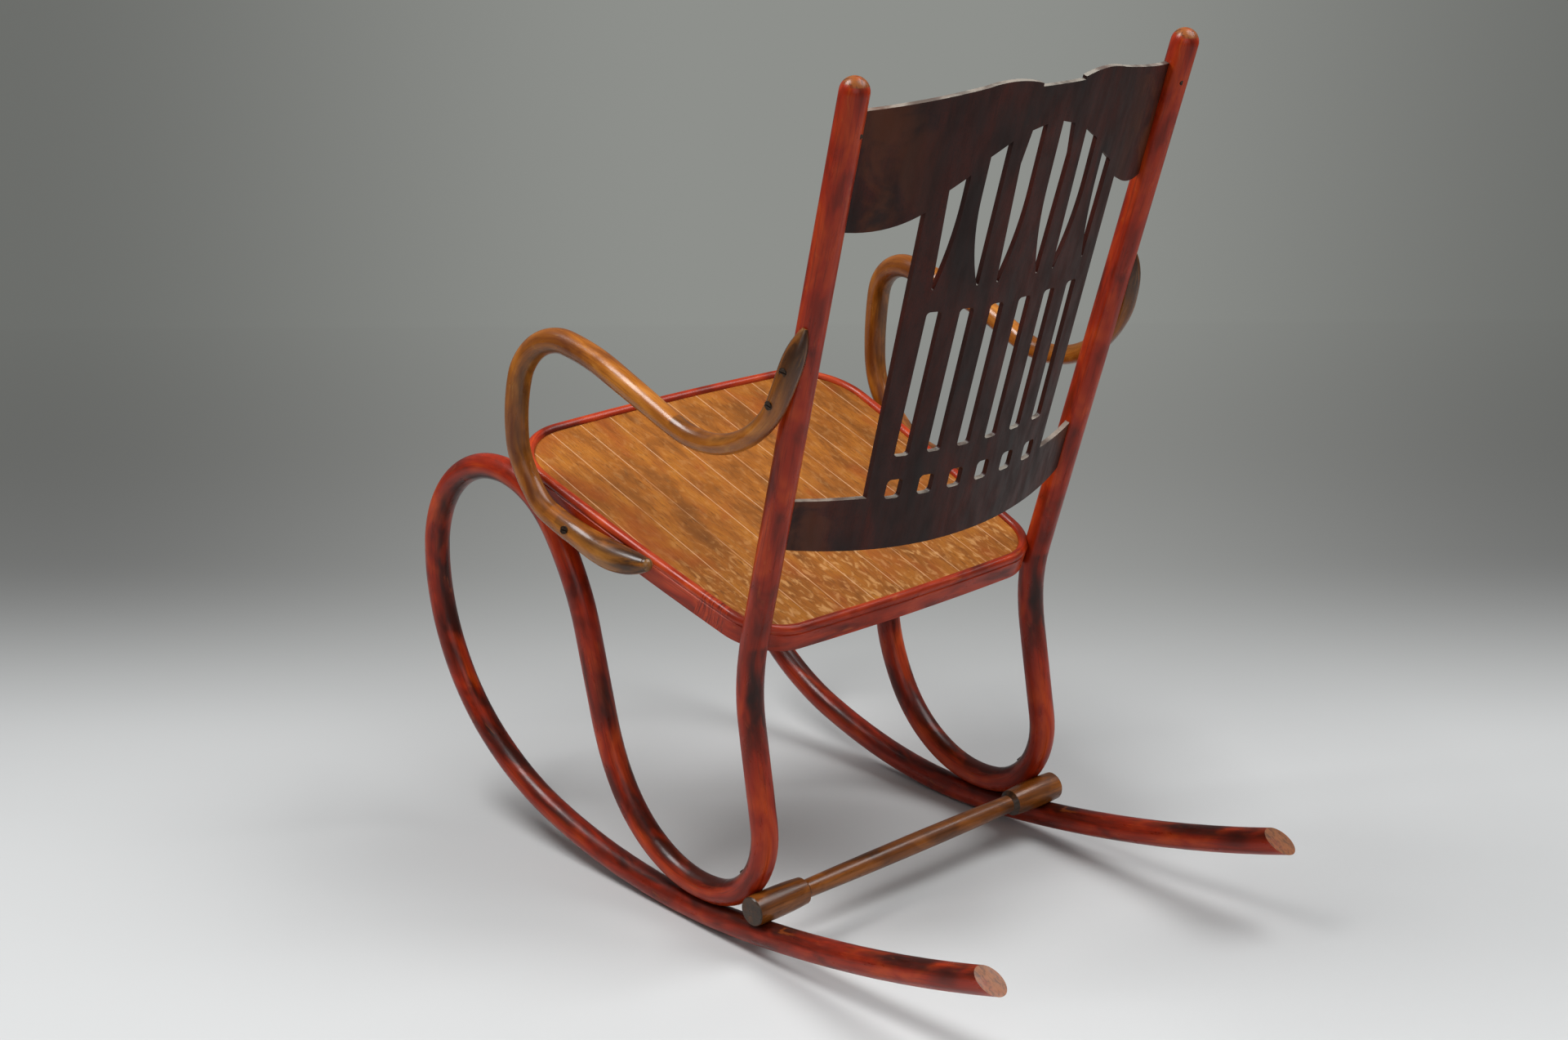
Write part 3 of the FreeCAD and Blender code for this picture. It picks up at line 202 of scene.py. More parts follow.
@dataclass(frozen=True)
class WoodFinish:
    """A stained and varnished wood surface with grain, blotches and wear.

    The grain runs along the third of the piece's own grain coordinates, so it follows every bend.
    Pores and streaks are drawn coarser than real ones, so that they show. Shares are from 0 to 1.
    Widths and lengths are in mm, and the dark ends are steps in the distance along the rod in metres.
    """

    name: str
    base: str
    light: str
    dark: str
    worn: str
    grime_and_shade: str
    end_grain: str = "#8A6238"
    grain_width: float = 1.6
    grain_length: float = 55.0
    blotch: float = 38.0
    dark_share: float = 0.6
    grime_and_shade_share: float = 0.5
    wear_share: float = 0.25
    roughness: tuple[float, float] = (0.3, 0.52)
    ior: float = 1.5
    specular: float = 0.3
    coat: float = 0.12
    coat_roughness: float = 0.16
    relief: float = 0.12
    relief_depth: float = 0.0006
    cloud_shape: tuple[float, float] = (0.7, 2.0)
    cloud_warp: float = 0.6
    cloud_stops: tuple[float, float, float] = (0.3, 0.5, 0.72)
    streak_step: SoftStep = SoftStep(0.48, 0.72)
    sheen_spots: tuple[float, float, float] = (12.0, 12.0, 40.0)
    sheen_range: tuple[float, float] = (0.3, 0.7)
    dark_ends: tuple[SoftStep, ...] = ()
    inner_side: SoftStep = SoftStep(0.1, 0.75)
    inner_patches: Figure = Figure((26.0, 26.0, 90.0), 3.0, 0.4, SoftStep(0.3, 0.6))
    handled: Figure = Figure((11.0, 11.0, 60.0), 4.0, 0.5, SoftStep(0.3, 0.6, 0.35, 0.9))
    rubbed: Figure = Figure((9.0, 9.0, 30.0), 5.0, 0.8, SoftStep(0.62, 0.74))
    end_face: SoftStep = SoftStep(0.45, 0.62)
    end_bare: Figure = Figure((11.0, 11.0, 60.0), 4.0, 0.5, SoftStep(0.25, 0.6, 0.45, 0.95))
    end_rings: Figure = Figure((3.0, 6.0, 20.0), 3.0, 0.8, SoftStep(0.42, 0.7, 0.0, 0.6))
    pores: Figure = Figure((1.1, 1.1, 26.0), 4.0)

    def stain(self, tree: Tree, space: Socket) -> Socket:
        """Makes the stain: light and dark clouds, with grain streaks in them.

        Args:
            tree: Node tree.
            space: Grain coordinates in metres.

        Returns:
            The colour before wear.
        """
        streaks = Figure((self.grain_width, self.grain_width, self.grain_length), detail=4.0,
                         step=self.streak_step)
        wide, long = [self.blotch * share for share in self.cloud_shape]
        clouds = Figure((wide, wide, long), detail=3.0, warp=self.cloud_warp)
        ramp = add_node(tree, "ShaderNodeValToRGB",
                        {"stops": list(zip(self.cloud_stops, (self.dark, self.base, self.light)))},
                        {"Fac": clouds.noise(tree, space)})
        return lay_over(tree, ramp.outputs[0], self.dark, streaks.mask(tree, space), self.dark_share)

    def wear(self, tree: Tree, space: Socket, colour: Socket) -> Socket:
        """Adds dirt and painted shade inside bends, dirt at handled ends, rubbed patches, bare end grain.

        Args:
            tree: Node tree.
            space: Grain coordinates in metres.
            colour: The stain's colour.

        Returns:
            The finished colour.
        """
        bend = add_node(tree, "ShaderNodeAttribute", {"attribute_name": Mark.BEND.value})
        # The inner side of each bend is darkened: part dirt, part painted shade.
        inner = add_node(tree, "ShaderNodeMapRange", self.inner_side.settings,
                         {"Value": bend.outputs["Fac"]})
        colour = lay_over(tree, colour, self.grime_and_shade, inner.outputs[0], self.inner_patches.mask(tree, space),
                          self.grime_and_shade_share)
        run = add_node(tree, "ShaderNodeSeparateXYZ", {}, {0: space}).outputs[2]
        for step in self.dark_ends:
            near_end = add_node(tree, "ShaderNodeMapRange", step.settings, {"Value": run})
            colour = lay_over(tree, colour, self.grime_and_shade, near_end.outputs[0], self.handled.mask(tree, space))
        colour = lay_over(tree, colour, self.worn, self.rubbed.mask(tree, space), self.wear_share)
        return self.end_faces(tree, space, colour)

    def end_faces(self, tree: Tree, space: Socket, colour: Socket) -> Socket:
        """Shows the wood's end grain on faces that cut across it.

        Args:
            tree: Node tree.
            space: Grain coordinates in metres.
            colour: The colour of the sides.

        Returns:
            The colour of the sides and the ends.
        """
        way = add_node(tree, "ShaderNodeAttribute", {"attribute_name": Mark.WAY.value})
        facing = add_node(tree, "ShaderNodeNewGeometry")
        along = add_node(tree, "ShaderNodeVectorMath", {"operation": "DOT_PRODUCT"},
                         {0: way.outputs["Vector"], 1: facing.outputs["True Normal"]})
        size = add_node(tree, "ShaderNodeMath", {"operation": "ABSOLUTE"}, {0: along.outputs["Value"]})
        is_end = add_node(tree, "ShaderNodeMapRange", self.end_face.settings, {"Value": size.outputs[0]})
        bare = lay_over(tree, colour, self.end_grain, self.end_bare.mask(tree, space))
        end = lay_over(tree, bare, self.grime_and_shade, self.end_rings.mask(tree, space))
        return lay_over(tree, colour, end, is_end.outputs[0])

    def height(self, tree: Tree, space: Socket) -> Socket:
        """Makes the relief of open pores and small dents, from 0 to 1."""
        return self.pores.noise(tree, space)

    def material(self) -> bpy.types.Material:
        """Makes the finish as a material.

        Returns:
            The material, which reads the grain marks of the piece that wears it.
        """
        material = new_material(self.name)
        tree = material.node_tree
        grain = add_node(tree, "ShaderNodeAttribute", {"attribute_name": Mark.GRAIN.value})
        space = grain.outputs["Vector"]
        spots = Figure(self.sheen_spots, detail=4.0, step=SoftStep(*self.sheen_range, *self.roughness))
        bump = add_node(tree, "ShaderNodeBump", {"Strength": self.relief, "Distance": self.relief_depth},
                        {"Height": self.height(tree, space)})
        shader = add_node(tree, "ShaderNodeBsdfPrincipled",
                          {"IOR": self.ior, "Specular IOR Level": self.specular, "Coat Weight": self.coat,
                           "Coat Roughness": self.coat_roughness},
                          {"Base Color": self.wear(tree, space, self.stain(tree, space)),
                           "Roughness": spots.mask(tree, space), "Normal": bump.outputs[0]})
        add_node(tree, "ShaderNodeOutputMaterial", {}, {"Surface": shader.outputs[0]})
        return material


@dataclass(frozen=True)
class SeatVeneer(WoodFinish):
    """The seat panel's veneer: open pores, pale incised lines from front to back, and rear scuffs.

    Line sizes are in mm. The rear is a step along the seat in metres, zero at the posts.
    """

    line_pitch: float = 44.6
    line_offset: float = 4.0
    line_width: float = 1.0
    line_core: float = 0.3
    line_colour: str = "#CFA078"
    scuff_colour: str = "#C08C54"
    pore_share: float = 0.7
    stain_share: float = 0.5
    dark_pores: Figure = Figure((0.8, 0.8, 18.0), 5.0, 0.0, SoftStep(0.52, 0.66))
    flakes: Figure = Figure((7.0, 7.0, 15.0), 6.0, 0.5, SoftStep(0.5, 0.66))
    rear: SoftStep = SoftStep(-0.22, -0.03)
    scuffed: SoftStep = SoftStep(0.0, 1.0, 0.2, 0.8)
    spills: Figure = Figure((60.0, 60.0, 110.0), 3.0, 0.5, SoftStep(0.52, 0.68))
    line_fade: Figure = Figure((30.0, 30.0, 70.0), 3.0, 0.0, SoftStep(0.3, 0.55, 0.15, 0.65))
    pores: Figure = Figure((1.0, 1.0, 24.0), 4.0)

    def line_mask(self, tree: Tree, space: Socket) -> Socket:
        """Marks the incised lines.

        Args:
            tree: Node tree.
            space: Grain coordinates in metres.

        Returns:
            One in a line and zero between lines.
        """
        half = self.line_pitch / 2
        edge = SoftStep((half - self.line_width) * MM, (half - self.line_width * self.line_core) * MM)
        parts = add_node(tree, "ShaderNodeSeparateXYZ", {}, {0: space})
        moved = add_node(tree, "ShaderNodeMath", {"operation": "ADD", 1: (half - self.line_offset) * MM},
                         {0: parts.outputs[0]})
        folded = add_node(tree, "ShaderNodeMath", {"operation": "PINGPONG", 1: half * MM},
                          {0: moved.outputs[0]})
        return add_node(tree, "ShaderNodeMapRange", edge.settings, {"Value": folded.outputs[0]}).outputs[0]

    def wear(self, tree: Tree, space: Socket, colour: Socket) -> Socket:
        """Adds dark pores, scuffs that thicken to the rear, red-brown spills and the incised lines.

        Args:
            tree: Node tree.
            space: Grain coordinates in metres.
            colour: The varnish's colour.

        Returns:
            The finished colour.
        """
        colour = lay_over(tree, colour, self.grime_and_shade, self.dark_pores.mask(tree, space), self.pore_share)
        parts = add_node(tree, "ShaderNodeSeparateXYZ", {}, {0: space})
        rear = add_node(tree, "ShaderNodeMapRange", self.rear.settings, {"Value": parts.outputs[2]})
        scuffed = add_node(tree, "ShaderNodeMapRange", self.scuffed.settings, {"Value": rear.outputs[0]})
        colour = lay_over(tree, colour, self.scuff_colour, self.flakes.mask(tree, space), scuffed.outputs[0])
        colour = lay_over(tree, colour, self.worn, self.spills.mask(tree, space), self.stain_share)
        return lay_over(tree, colour, self.line_colour, self.line_mask(tree, space),
                        self.line_fade.mask(tree, space))

    def height(self, tree: Tree, space: Socket) -> Socket:
        """Makes the relief: open pores, with the incised lines as grooves.

        Args:
            tree: Node tree.
            space: Grain coordinates in metres.

        Returns:
            The height, from minus one to one.
        """
        cut = add_node(tree, "ShaderNodeMath", {"operation": "SUBTRACT"},
                       {0: self.pores.noise(tree, space), 1: self.line_mask(tree, space)})
        return cut.outputs[0]


@dataclass(frozen=True)
class PanelStain(WoodFinish):
    """The back panel's dark stain; its upward edges are pale, part worn wood, part painted highlight.

    The ends are a step in the distance from the middle of the panel, in metres.
    """

    # Colour of the upward edges: part worn wood, part painted highlight.
    edge: str = "#C9C2B4"
    fleck_share: float = 0.45
    end_share: float = 0.6
    flecks: Figure = Figure((1.4, 1.4, 2.8), 3.0, 0.0, SoftStep(0.5, 0.66))
    ends: SoftStep = SoftStep(0.12, 0.21)
    end_clouds: Figure = Figure((50.0, 50.0, 60.0), 4.0, 0.6, SoftStep(0.42, 0.6))
    upward: SoftStep = SoftStep(0.6, 0.9)
    upper_wear_and_highlight: Figure = Figure((30.0, 30.0, 60.0), 4.0, 0.0, SoftStep(0.35, 0.62, 0.12, 0.4))

    def wear(self, tree: Tree, space: Socket, colour: Socket) -> Socket:
        """Adds fine dark flecks, lighter outer ends and upper edges paled by rubbing and painted highlight.

        Args:
            tree: Node tree.
            space: Grain coordinates in metres.
            colour: The stain's colour.

        Returns:
            The finished colour.
        """
        colour = lay_over(tree, colour, self.grime_and_shade, self.flecks.mask(tree, space), self.fleck_share)
        parts = add_node(tree, "ShaderNodeSeparateXYZ", {}, {0: space})
        out = add_node(tree, "ShaderNodeMath", {"operation": "ABSOLUTE"}, {0: parts.outputs[0]})
        ends = add_node(tree, "ShaderNodeMapRange", self.ends.settings, {"Value": out.outputs[0]})
        colour = lay_over(tree, colour, self.worn, ends.outputs[0], self.end_clouds.mask(tree, space),
                          self.end_share)
        # Faces that point up turn pale: part rubbed wood, part painted highlight.
        facing = add_node(tree, "ShaderNodeNewGeometry")
        lift = add_node(tree, "ShaderNodeSeparateXYZ", {}, {0: facing.outputs["True Normal"]})
        upward = add_node(tree, "ShaderNodeMapRange", self.upward.settings, {"Value": lift.outputs[2]})
        return lay_over(tree, colour, self.edge, upward.outputs[0], self.upper_wear_and_highlight.mask(tree, space))


@dataclass(frozen=True)
class BlackenedSteel:
    """Blackened steel, turned: dark and half glossy, with scratches and a trace of rust.

    The scratches are drawn coarser than real ones, so that they show.
    """

    name: str = "blackened_steel_screws"
    base: str = "#4A4038"
    rust: str = "#3A2416"
    stops: tuple[float, float] = (0.35, 0.6)
    metallic: float = 0.9
    spots: Figure = Figure((1.6, 1.6, 1.6), 4.0, 0.0, SoftStep(0.3, 0.7, 0.3, 0.6))
    scratches: Figure = Figure((0.6, 0.6, 0.6), 3.0)
    relief: float = 0.2
    relief_depth: float = 0.0002

    def material(self) -> bpy.types.Material:
        """Makes the finish as a material.

        Returns:
            The material.
        """
        material = new_material(self.name)
        tree = material.node_tree
        space = add_node(tree, "ShaderNodeTexCoord").outputs["Object"]
        ramp = add_node(tree, "ShaderNodeValToRGB", {"stops": list(zip(self.stops, (self.rust, self.base)))},
                        {"Fac": self.spots.noise(tree, space)})
        bump = add_node(tree, "ShaderNodeBump", {"Strength": self.relief, "Distance": self.relief_depth},
                        {"Height": self.scratches.noise(tree, space)})
        shader = add_node(tree, "ShaderNodeBsdfPrincipled", {"Metallic": self.metallic},
                          {"Base Color": ramp.outputs[0], "Roughness": self.spots.mask(tree, space),
                           "Normal": bump.outputs[0]})
        add_node(tree, "ShaderNodeOutputMaterial", {}, {"Surface": shader.outputs[0]})
        return material


# Beech, steamed and bent, red oil stain under old shellac: deep red, brown-black in the inner bends
# The brown-black in the inner bends is part dirt, part painted shade.
ROD_STAIN = WoodFinish(
    "red_stained_beech", base="#922408", light="#B8420E", dark="#541406", worn="#B05820", grime_and_shade="#1C0A05",
    end_grain="#8C5228", dark_share=0.55, grime_and_shade_share=0.9, wear_share=0.3, roughness=(0.26, 0.44),
    coat=0.1, specular=0.22)
# Beech, bent, red stain painted more orange than the rods, as painted light on the rim, with a satin shine
RIM_LIT_STAIN = WoodFinish(
    "red_stained_beech_rim_lit", base="#9C2A0A", light="#C0461A", dark="#541406", worn="#BC6028",
    grime_and_shade="#2E0F0A", dark_share=0.45, grime_and_shade_share=0.0, wear_share=0.4, roughness=(0.26, 0.44),
    coat=0.1, specular=0.25)
# Beech, bent, clear shellac darkened by hands: honey to amber, brown-black at the post and the tip
ARM_SHELLAC = WoodFinish(
    "amber_shellac_beech", base="#9A5814", light="#C68030", dark="#643008", worn="#D09848",
    grime_and_shade="#1E1008", blotch=46.0, dark_share=0.55, grime_and_shade_share=0.7, roughness=(0.22, 0.4), coat=0.2,
    dark_ends=(SoftStep(0.13, 0.02), SoftStep(0.74, 0.85)))
# Beech, turned on a lathe, brown shellac: walnut amber, with near-black end grain
STRETCHER_SHELLAC = WoodFinish(
    "brown_shellac_beech", base="#6E3A0C", light="#96561A", dark="#3E2008", worn="#A86C28",
    grime_and_shade="#181008", end_grain="#2E2216", blotch=34.0, grime_and_shade_share=0.6, wear_share=0.2,
    roughness=(0.26, 0.44), coat=0.2)
# Three-ply veneer, scraped and varnished, worn dull: golden brown with open dark pores
SEAT_VARNISH = SeatVeneer(
    "worn_varnished_veneer", base="#94561A", light="#A86820", dark="#744212", worn="#8C3E10",
    grime_and_shade="#4E2A0C", grain_width=1.8, grain_length=60.0, blotch=40.0, dark_share=0.5,
    roughness=(0.45, 0.65), coat=0.0, specular=0.2, relief=0.3)
# Three-ply birch, fretsawn, dark mahogany stain: almost black-brown with a red glow, rubbed edges
# Its pale upward edges are part rubbed wood, part painted highlight.
BACK_STAIN = PanelStain(
    "mahogany_stained_plywood", base="#2E0F08", light="#421308", dark="#1C0A06", worn="#5A2C10",
    grime_and_shade="#140B07", grain_width=1.4, grain_length=40.0, blotch=50.0, dark_share=0.5,
    roughness=(0.4, 0.6), coat=0.05, specular=0.2, relief=0.1)
# Steel, turned, slotted and blackened: dark brown-black heads with a dull glint
SCREW_STEEL = BlackenedSteel()


@dataclass(frozen=True)
class GrainLine:
    """The line that a piece's grain follows, as samples along it.

    Attributes:
        points: Places on the line, in metres.
        ways: The grain's way at each place, of unit length.
        inward: The way to the inner side of the bend at each place, or zero where it is straight.
        gone: Distance along the line, in metres.
        across: A way that is never along the grain.
        block_size: How many places are compared at a time.
        least_reach: The least distance from the line that is divided by, in metres.
    """

    points: np.ndarray
    ways: np.ndarray
    inward: np.ndarray
    gone: np.ndarray
    across: Vector

    block_size: ClassVar[int] = 2000
    least_reach: ClassVar[float] = 1e-5

    def nearest(self, places: np.ndarray) -> np.ndarray:
        """Finds the sample nearest to each place.

        Args:
            places: Places in metres, one a row.

        Returns:
            The number of the nearest sample for each place.
        """
        blocks = np.array_split(places, max(1, len(places) // self.block_size))
        return np.concatenate([((block[:, None, :] - self.points[None]) ** 2).sum(2).argmin(1)
                               for block in blocks])

    def mark(self, piece: bpy.types.Object) -> None:
        """Writes the grain coordinates, the grain's way and the inner side of bends on the points.

        Args:
            piece: The mesh object to mark; its shape is not changed.
        """
        mesh = piece.data
        places = np.empty(len(mesh.vertices) * 3)
        mesh.vertices.foreach_get("co", places)
        places = places.reshape(-1, 3)
        nearest = self.nearest(places)
        way = self.ways[nearest]
        offset = places - self.points[nearest]
        side = np.cross(way, np.array(self.across))
        side /= np.linalg.norm(side, axis=1)[:, None]
        flat = np.cross(side, way)
        along = (offset * way).sum(1)
        lean = (offset * side).sum(1)
        level = (offset * flat).sum(1)
        reach = np.maximum(np.hypot(lean, level), self.least_reach)
        inner = (offset * self.inward[nearest]).sum(1) / reach
        space = np.stack([level, lean, self.gone[nearest] + along], axis=1)
        for mark, kind, slot, values in ((Mark.GRAIN, "FLOAT_VECTOR", "vector", space),
                                         (Mark.WAY, "FLOAT_VECTOR", "vector", way),
                                         (Mark.BEND, "FLOAT", "value", inner)):
            attribute = mesh.attributes.new(mark.value, kind, "POINT")
            attribute.data.foreach_set(slot, np.ascontiguousarray(values, np.float32).ravel())


def straight_grain(start: Vector, end: Vector, across: Vector, zero: float = 0.0) -> GrainLine:
    """Makes the grain line of a straight or flat piece.

    Args:
        start: Where the line starts, in metres.
        end: Where it ends.
        across: A way that is never along the grain.
        zero: Distance from the start at which the run is zero, in metres.

    Returns:
        The grain line.
    """
    spacing = 10.0 * MM
    length = (end - start).length
    way = np.array((end - start).normalized())
    count = max(2, round(length / spacing) + 1)
    gone = np.linspace(0.0, length, count)
    points = np.array(start)[None] + gone[:, None] * way[None]
    return GrainLine(points, np.repeat(way[None], count, axis=0), np.zeros((count, 3)), gone - zero, across)


@dataclass(frozen=True)
class Stretch:
    """One stretch of a bent rod in side view.

    Attributes:
        length: Length in mm.
        turn: Turn in degrees, positive from the rearward way towards the upward one.
        spread: How far from the middle of the chair it ends, in mm, or None where the distance
            changes evenly over this stretch and the next.
    """

    length: float
    turn: float = 0.0
    spread: float | None = None


@dataclass(frozen=True)
class BentRod:
    """A bent rod's centreline, walked in side view and spread from the middle of the chair.

    Attributes:
        start: Y and Z of the walk's start, in mm.
        heading: Heading in degrees at the start, 0 to the rear and 90 up.
        spread: Distance from the middle of the chair at the start, in mm.
        stretches: The rod's stretches in order.
        spacing: Distance between samples in mm.
    """

    start: tuple[float, float]
    heading: float
    spread: float
    stretches: tuple[Stretch, ...]
    spacing: float = 4.0

    def grain(self, side: Side) -> GrainLine:
        """Walks the stretches and makes the grain line in the chair's frame.

        Args:
            side: Side of the chair.

        Returns:
            The grain line in metres.
        """
        y, z = self.start
        heading = self.heading
        gone, samples, keys = 0.0, [], [(0.0, self.spread)]
        for stretch in self.stretches:
            count = max(1, round(stretch.length / self.spacing))
            turn, step = stretch.turn / count, stretch.length / count
            bend = math.copysign(1.0, turn) if turn else 0.0
            for _ in range(count):
                middle = heading + turn / 2.0
                samples.append((y, z, middle, gone, bend))
                y += step * math.cos(math.radians(middle))
                z += step * math.sin(math.radians(middle))
                heading += turn
                gone += step
            if stretch.spread is not None:
                keys.append((gone, stretch.spread))
        y, z, headings, gone, bends = np.array(samples).T
        places, spreads = zip(*keys)
        x = np.interp(gone, places, spreads) * side.value
        angles = np.radians(headings)
        level, rise, none = np.cos(angles), np.sin(angles), np.zeros(len(angles))
        return GrainLine(np.stack([x, y, z], axis=1) * MM, np.stack([none, level, rise], axis=1),
                         np.stack([none, -rise, level], axis=1) * bends[:, None], gone * MM, ACROSS)


def dress(name: str, material: bpy.types.Material, grain: GrainLine | None = None) -> None:
    """Marks a piece's grain, gives it one material and reports it.

    Args:
        name: The piece's node name.
        material: The material that it wears.
        grain: The line that its grain follows, where its finish has a grain.
    """
    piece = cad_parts[name]
    if grain is not None:
        grain.mark(piece)
    piece.data.materials.clear()
    piece.data.materials.append(material)
    LOG.info("%s: %s", piece.name, material.name)


@dataclass
class SideFrames:
    """The two bent side rods and the two rockers.

    The rods are walked both ways from the middle of the runner, in mm. The chair stands turned on its
    rockers by the lean, in degrees.
    """

    contact: tuple[float, float] = (-36.3, 15.1)
    lean: float = 0.938
    spread: float = 223.0
    forward: tuple[Stretch, ...] = (
        Stretch(225.1, -17.2), Stretch(128.1, -21.4), Stretch(255.3, -57.6, 235.0), Stretch(229.1, -95.1),
        Stretch(98.2, -44.3, 235.0), Stretch(111.3, -22.3), Stretch(101.1, 0.0, 227.0), Stretch(83.9, 19.3),
        Stretch(108.0, 37.5), Stretch(80.6, 31.4, 222.0), Stretch(147.2, 89.7), Stretch(112.5),
        Stretch(100.2, -25.4, 219.5), Stretch(619.0, 0.0, 239.0), Stretch(15.0, 0.0, 239.0))
    rearward: tuple[Stretch, ...] = (
        Stretch(86.4, 6.6), Stretch(432.2, 13.0, 231.0), Stretch(40.0, 0.0, 232.0))
    rocker_stretches: int = 4

    def rod_grain(self, side: Side, stretches: int | None = None) -> GrainLine:
        """Makes the grain line forward from the middle of the runner.

        Args:
            side: Side of the chair.
            stretches: How many stretches to walk, or None for all.

        Returns:
            The grain line.
        """
        return BentRod(self.contact, 180.0 - self.lean, self.spread, self.forward[:stretches]).grain(side)

    def rocker_grain(self, side: Side) -> GrainLine:
        """Makes the grain line of a rocker, from the tail's tip to the front of the loop.

        Args:
            side: Side of the chair.

        Returns:
            The grain line.
        """
        front = self.rod_grain(side, self.rocker_stretches)
        rear = BentRod(self.contact, -self.lean, self.spread, self.rearward).grain(side)
        return GrainLine(np.concatenate([rear.points[::-1], front.points]),
                         np.concatenate([-rear.ways[::-1], front.ways]),
                         np.concatenate([rear.inward[::-1], front.inward]),
                         np.concatenate([-rear.gone[::-1], front.gone]), front.across)

    def build(self) -> None:
        """Dresses the rods and the rockers."""
        material = ROD_STAIN.material()
        for side in Side:
            dress(side.name.lower() + "_side_rod", material, self.rod_grain(side))
            dress(side.name.lower() + "_rocker", material, self.rocker_grain(side))


@dataclass
class Arms:
    """The two bent arms, from the posts forward, round and back along the seat rim."""

    rod: BentRod = BentRod((212.9, 723.1), -108.54, 245.3, (
        Stretch(58.0, 0.0, 255.0), Stretch(205.5, -94.2, 262.5), Stretch(38.7, 0.0, 264.5),
        Stretch(145.3, 13.9, 262.5), Stretch(95.2, 85.0, 275.0), Stretch(74.0, 15.9, 276.5),
        Stretch(95.6, 58.3, 269.0), Stretch(13.1), Stretch(26.4, 7.8, 259.1), Stretch(105.7, 31.2, 249.3),
        Stretch(10.0, 0.0, 248.5)))

    def build(self) -> None:
        """Dresses the arms."""
        material = ARM_SHELLAC.material()
        for side in Side:
            dress(side.name.lower() + "_arm", material, self.rod.grain(side))


@dataclass(frozen=True)
class Corner:
    """A corner of the seat rim's middle line, in seat-plane mm, and its arc's first angle in degrees."""

    x: float
    y: float
    radius: float
    start: float


@dataclass
class Seat:
    """The bent rim and the thin panel let into it.

    The origin is in metres and the tilt in degrees. Places in the seat plane are in mm: X across, Y to
    the rear and Z up from the rim's underside.
    """

    origin: Vector = field(default_factory=lambda: Vector((0.0, 0.09746, 0.34396)))
    tilt: float = 18.47
    corners: tuple[Corner, ...] = (
        Corner(160.0, -52.0, 53.0, 0.0), Corner(-160.0, -52.0, 53.0, 90.0),
        Corner(-168.0, -347.0, 72.0, 180.0), Corner(168.0, -347.0, 72.0, 270.0))
    arc_samples: int = 10
    spacing: float = 5.0
    rim_middle: float = 15.0
    panel_top: float = 24.5
    panel_front: float = -450.0
    panel_rear: float = 60.0

    @property
    def up(self) -> Vector:
        """The way square to the seat."""
        return Vector((0.0, math.sin(math.radians(self.tilt)), math.cos(math.radians(self.tilt))))

    def place(self, x: float, y: float, z: float) -> Vector:
        """Turns a place in the seat plane to the chair's frame.

        Args:
            x: Distance across, in mm.
            y: Distance to the rear, in mm.
            z: Height above the rim's underside, in mm.

        Returns:
            The place in metres.
        """
        back = Vector((0.0, self.up.z, -self.up.y))
        return self.origin + Vector((x * MM, 0.0, 0.0)) + back * (y * MM) + self.up * (z * MM)

    def rim_grain(self) -> GrainLine:
        """Makes the closed grain line round the middle of the rim.

        Returns:
            The grain line.
        """
        outline = []
        for corner in self.corners:
            for i in range(self.arc_samples + 1):
                angle = math.radians(corner.start + 90.0 * i / self.arc_samples)
                outline.append((corner.x + corner.radius * math.cos(angle),
                                corner.y + corner.radius * math.sin(angle)))
        outline.append(outline[0])
        places = [outline[0]]
        for low, high in zip(outline, outline[1:]):
            count = max(1, round(math.dist(low, high) / self.spacing))
            places += [(low[0] + (high[0] - low[0]) * i / count, low[1] + (high[1] - low[1]) * i / count)
                       for i in range(1, count + 1)]
        points = np.array([self.place(x, y, self.rim_middle) for x, y in places])
        gaps = np.diff(points, axis=0)
        lengths = np.linalg.norm(gaps, axis=1)
        gone = np.concatenate([[0.0], np.cumsum(lengths)[:-1]])
        return GrainLine(points[:-1], gaps / lengths[:, None], np.zeros_like(gaps), gone, self.up)

    def build(self) -> None:
        """Dresses the rim and the panel."""
        dress("seat_rim", RIM_LIT_STAIN.material(), self.rim_grain())
        front = self.place(0.0, self.panel_front, self.panel_top)
        rear = self.place(0.0, self.panel_rear, self.panel_top)
        dress("seat_panel", SEAT_VARNISH.material(),
              straight_grain(front, rear, ACROSS, -self.panel_front * MM))


@dataclass
class Back:
    """The bowed, pierced back panel, with its grain upright.

    Its foot and height are in metres, and its lean to the rear is in degrees.
    """

    foot: Vector = field(default_factory=lambda: Vector((0.0, 0.1073, 0.3813)))
    lean: float = 16.34
    height: float = 0.62

    def build(self) -> None:
        """Dresses the panel."""
        up = Vector((0.0, math.sin(math.radians(self.lean)), math.cos(math.radians(self.lean))))
        dress("back_panel", BACK_STAIN.material(),
              straight_grain(self.foot, self.foot + up * self.height, ACROSS))


@dataclass
class Stretcher:
    """The turned rear stretcher, with its half length and the Y and Z of its axis in metres."""

    half: float = 0.242
    axis: tuple[float, float] = (0.1152, 0.0575)

    def build(self) -> None:
        """Dresses the stretcher."""
        ends = Vector((-self.half, *self.axis)), Vector((self.half, *self.axis))
        dress("rear_stretcher", STRETCHER_SHELLAC.material(), straight_grain(*ends, UPRIGHT))


@dataclass
class Fasteners:
    """The slotted screws and the small pins."""

    nodes: tuple[str, ...] = (
        "arm_post_screws", "arm_seat_screws", "stretcher_screws", "post_rim_screws", "loop_rim_screws",
        "rocker_screws", "back_panel_pins")

    def build(self) -> None:
        """Dresses every fastener in blackened steel."""
        material = SCREW_STEEL.material()
        for name in self.nodes:
            dress(name, material)


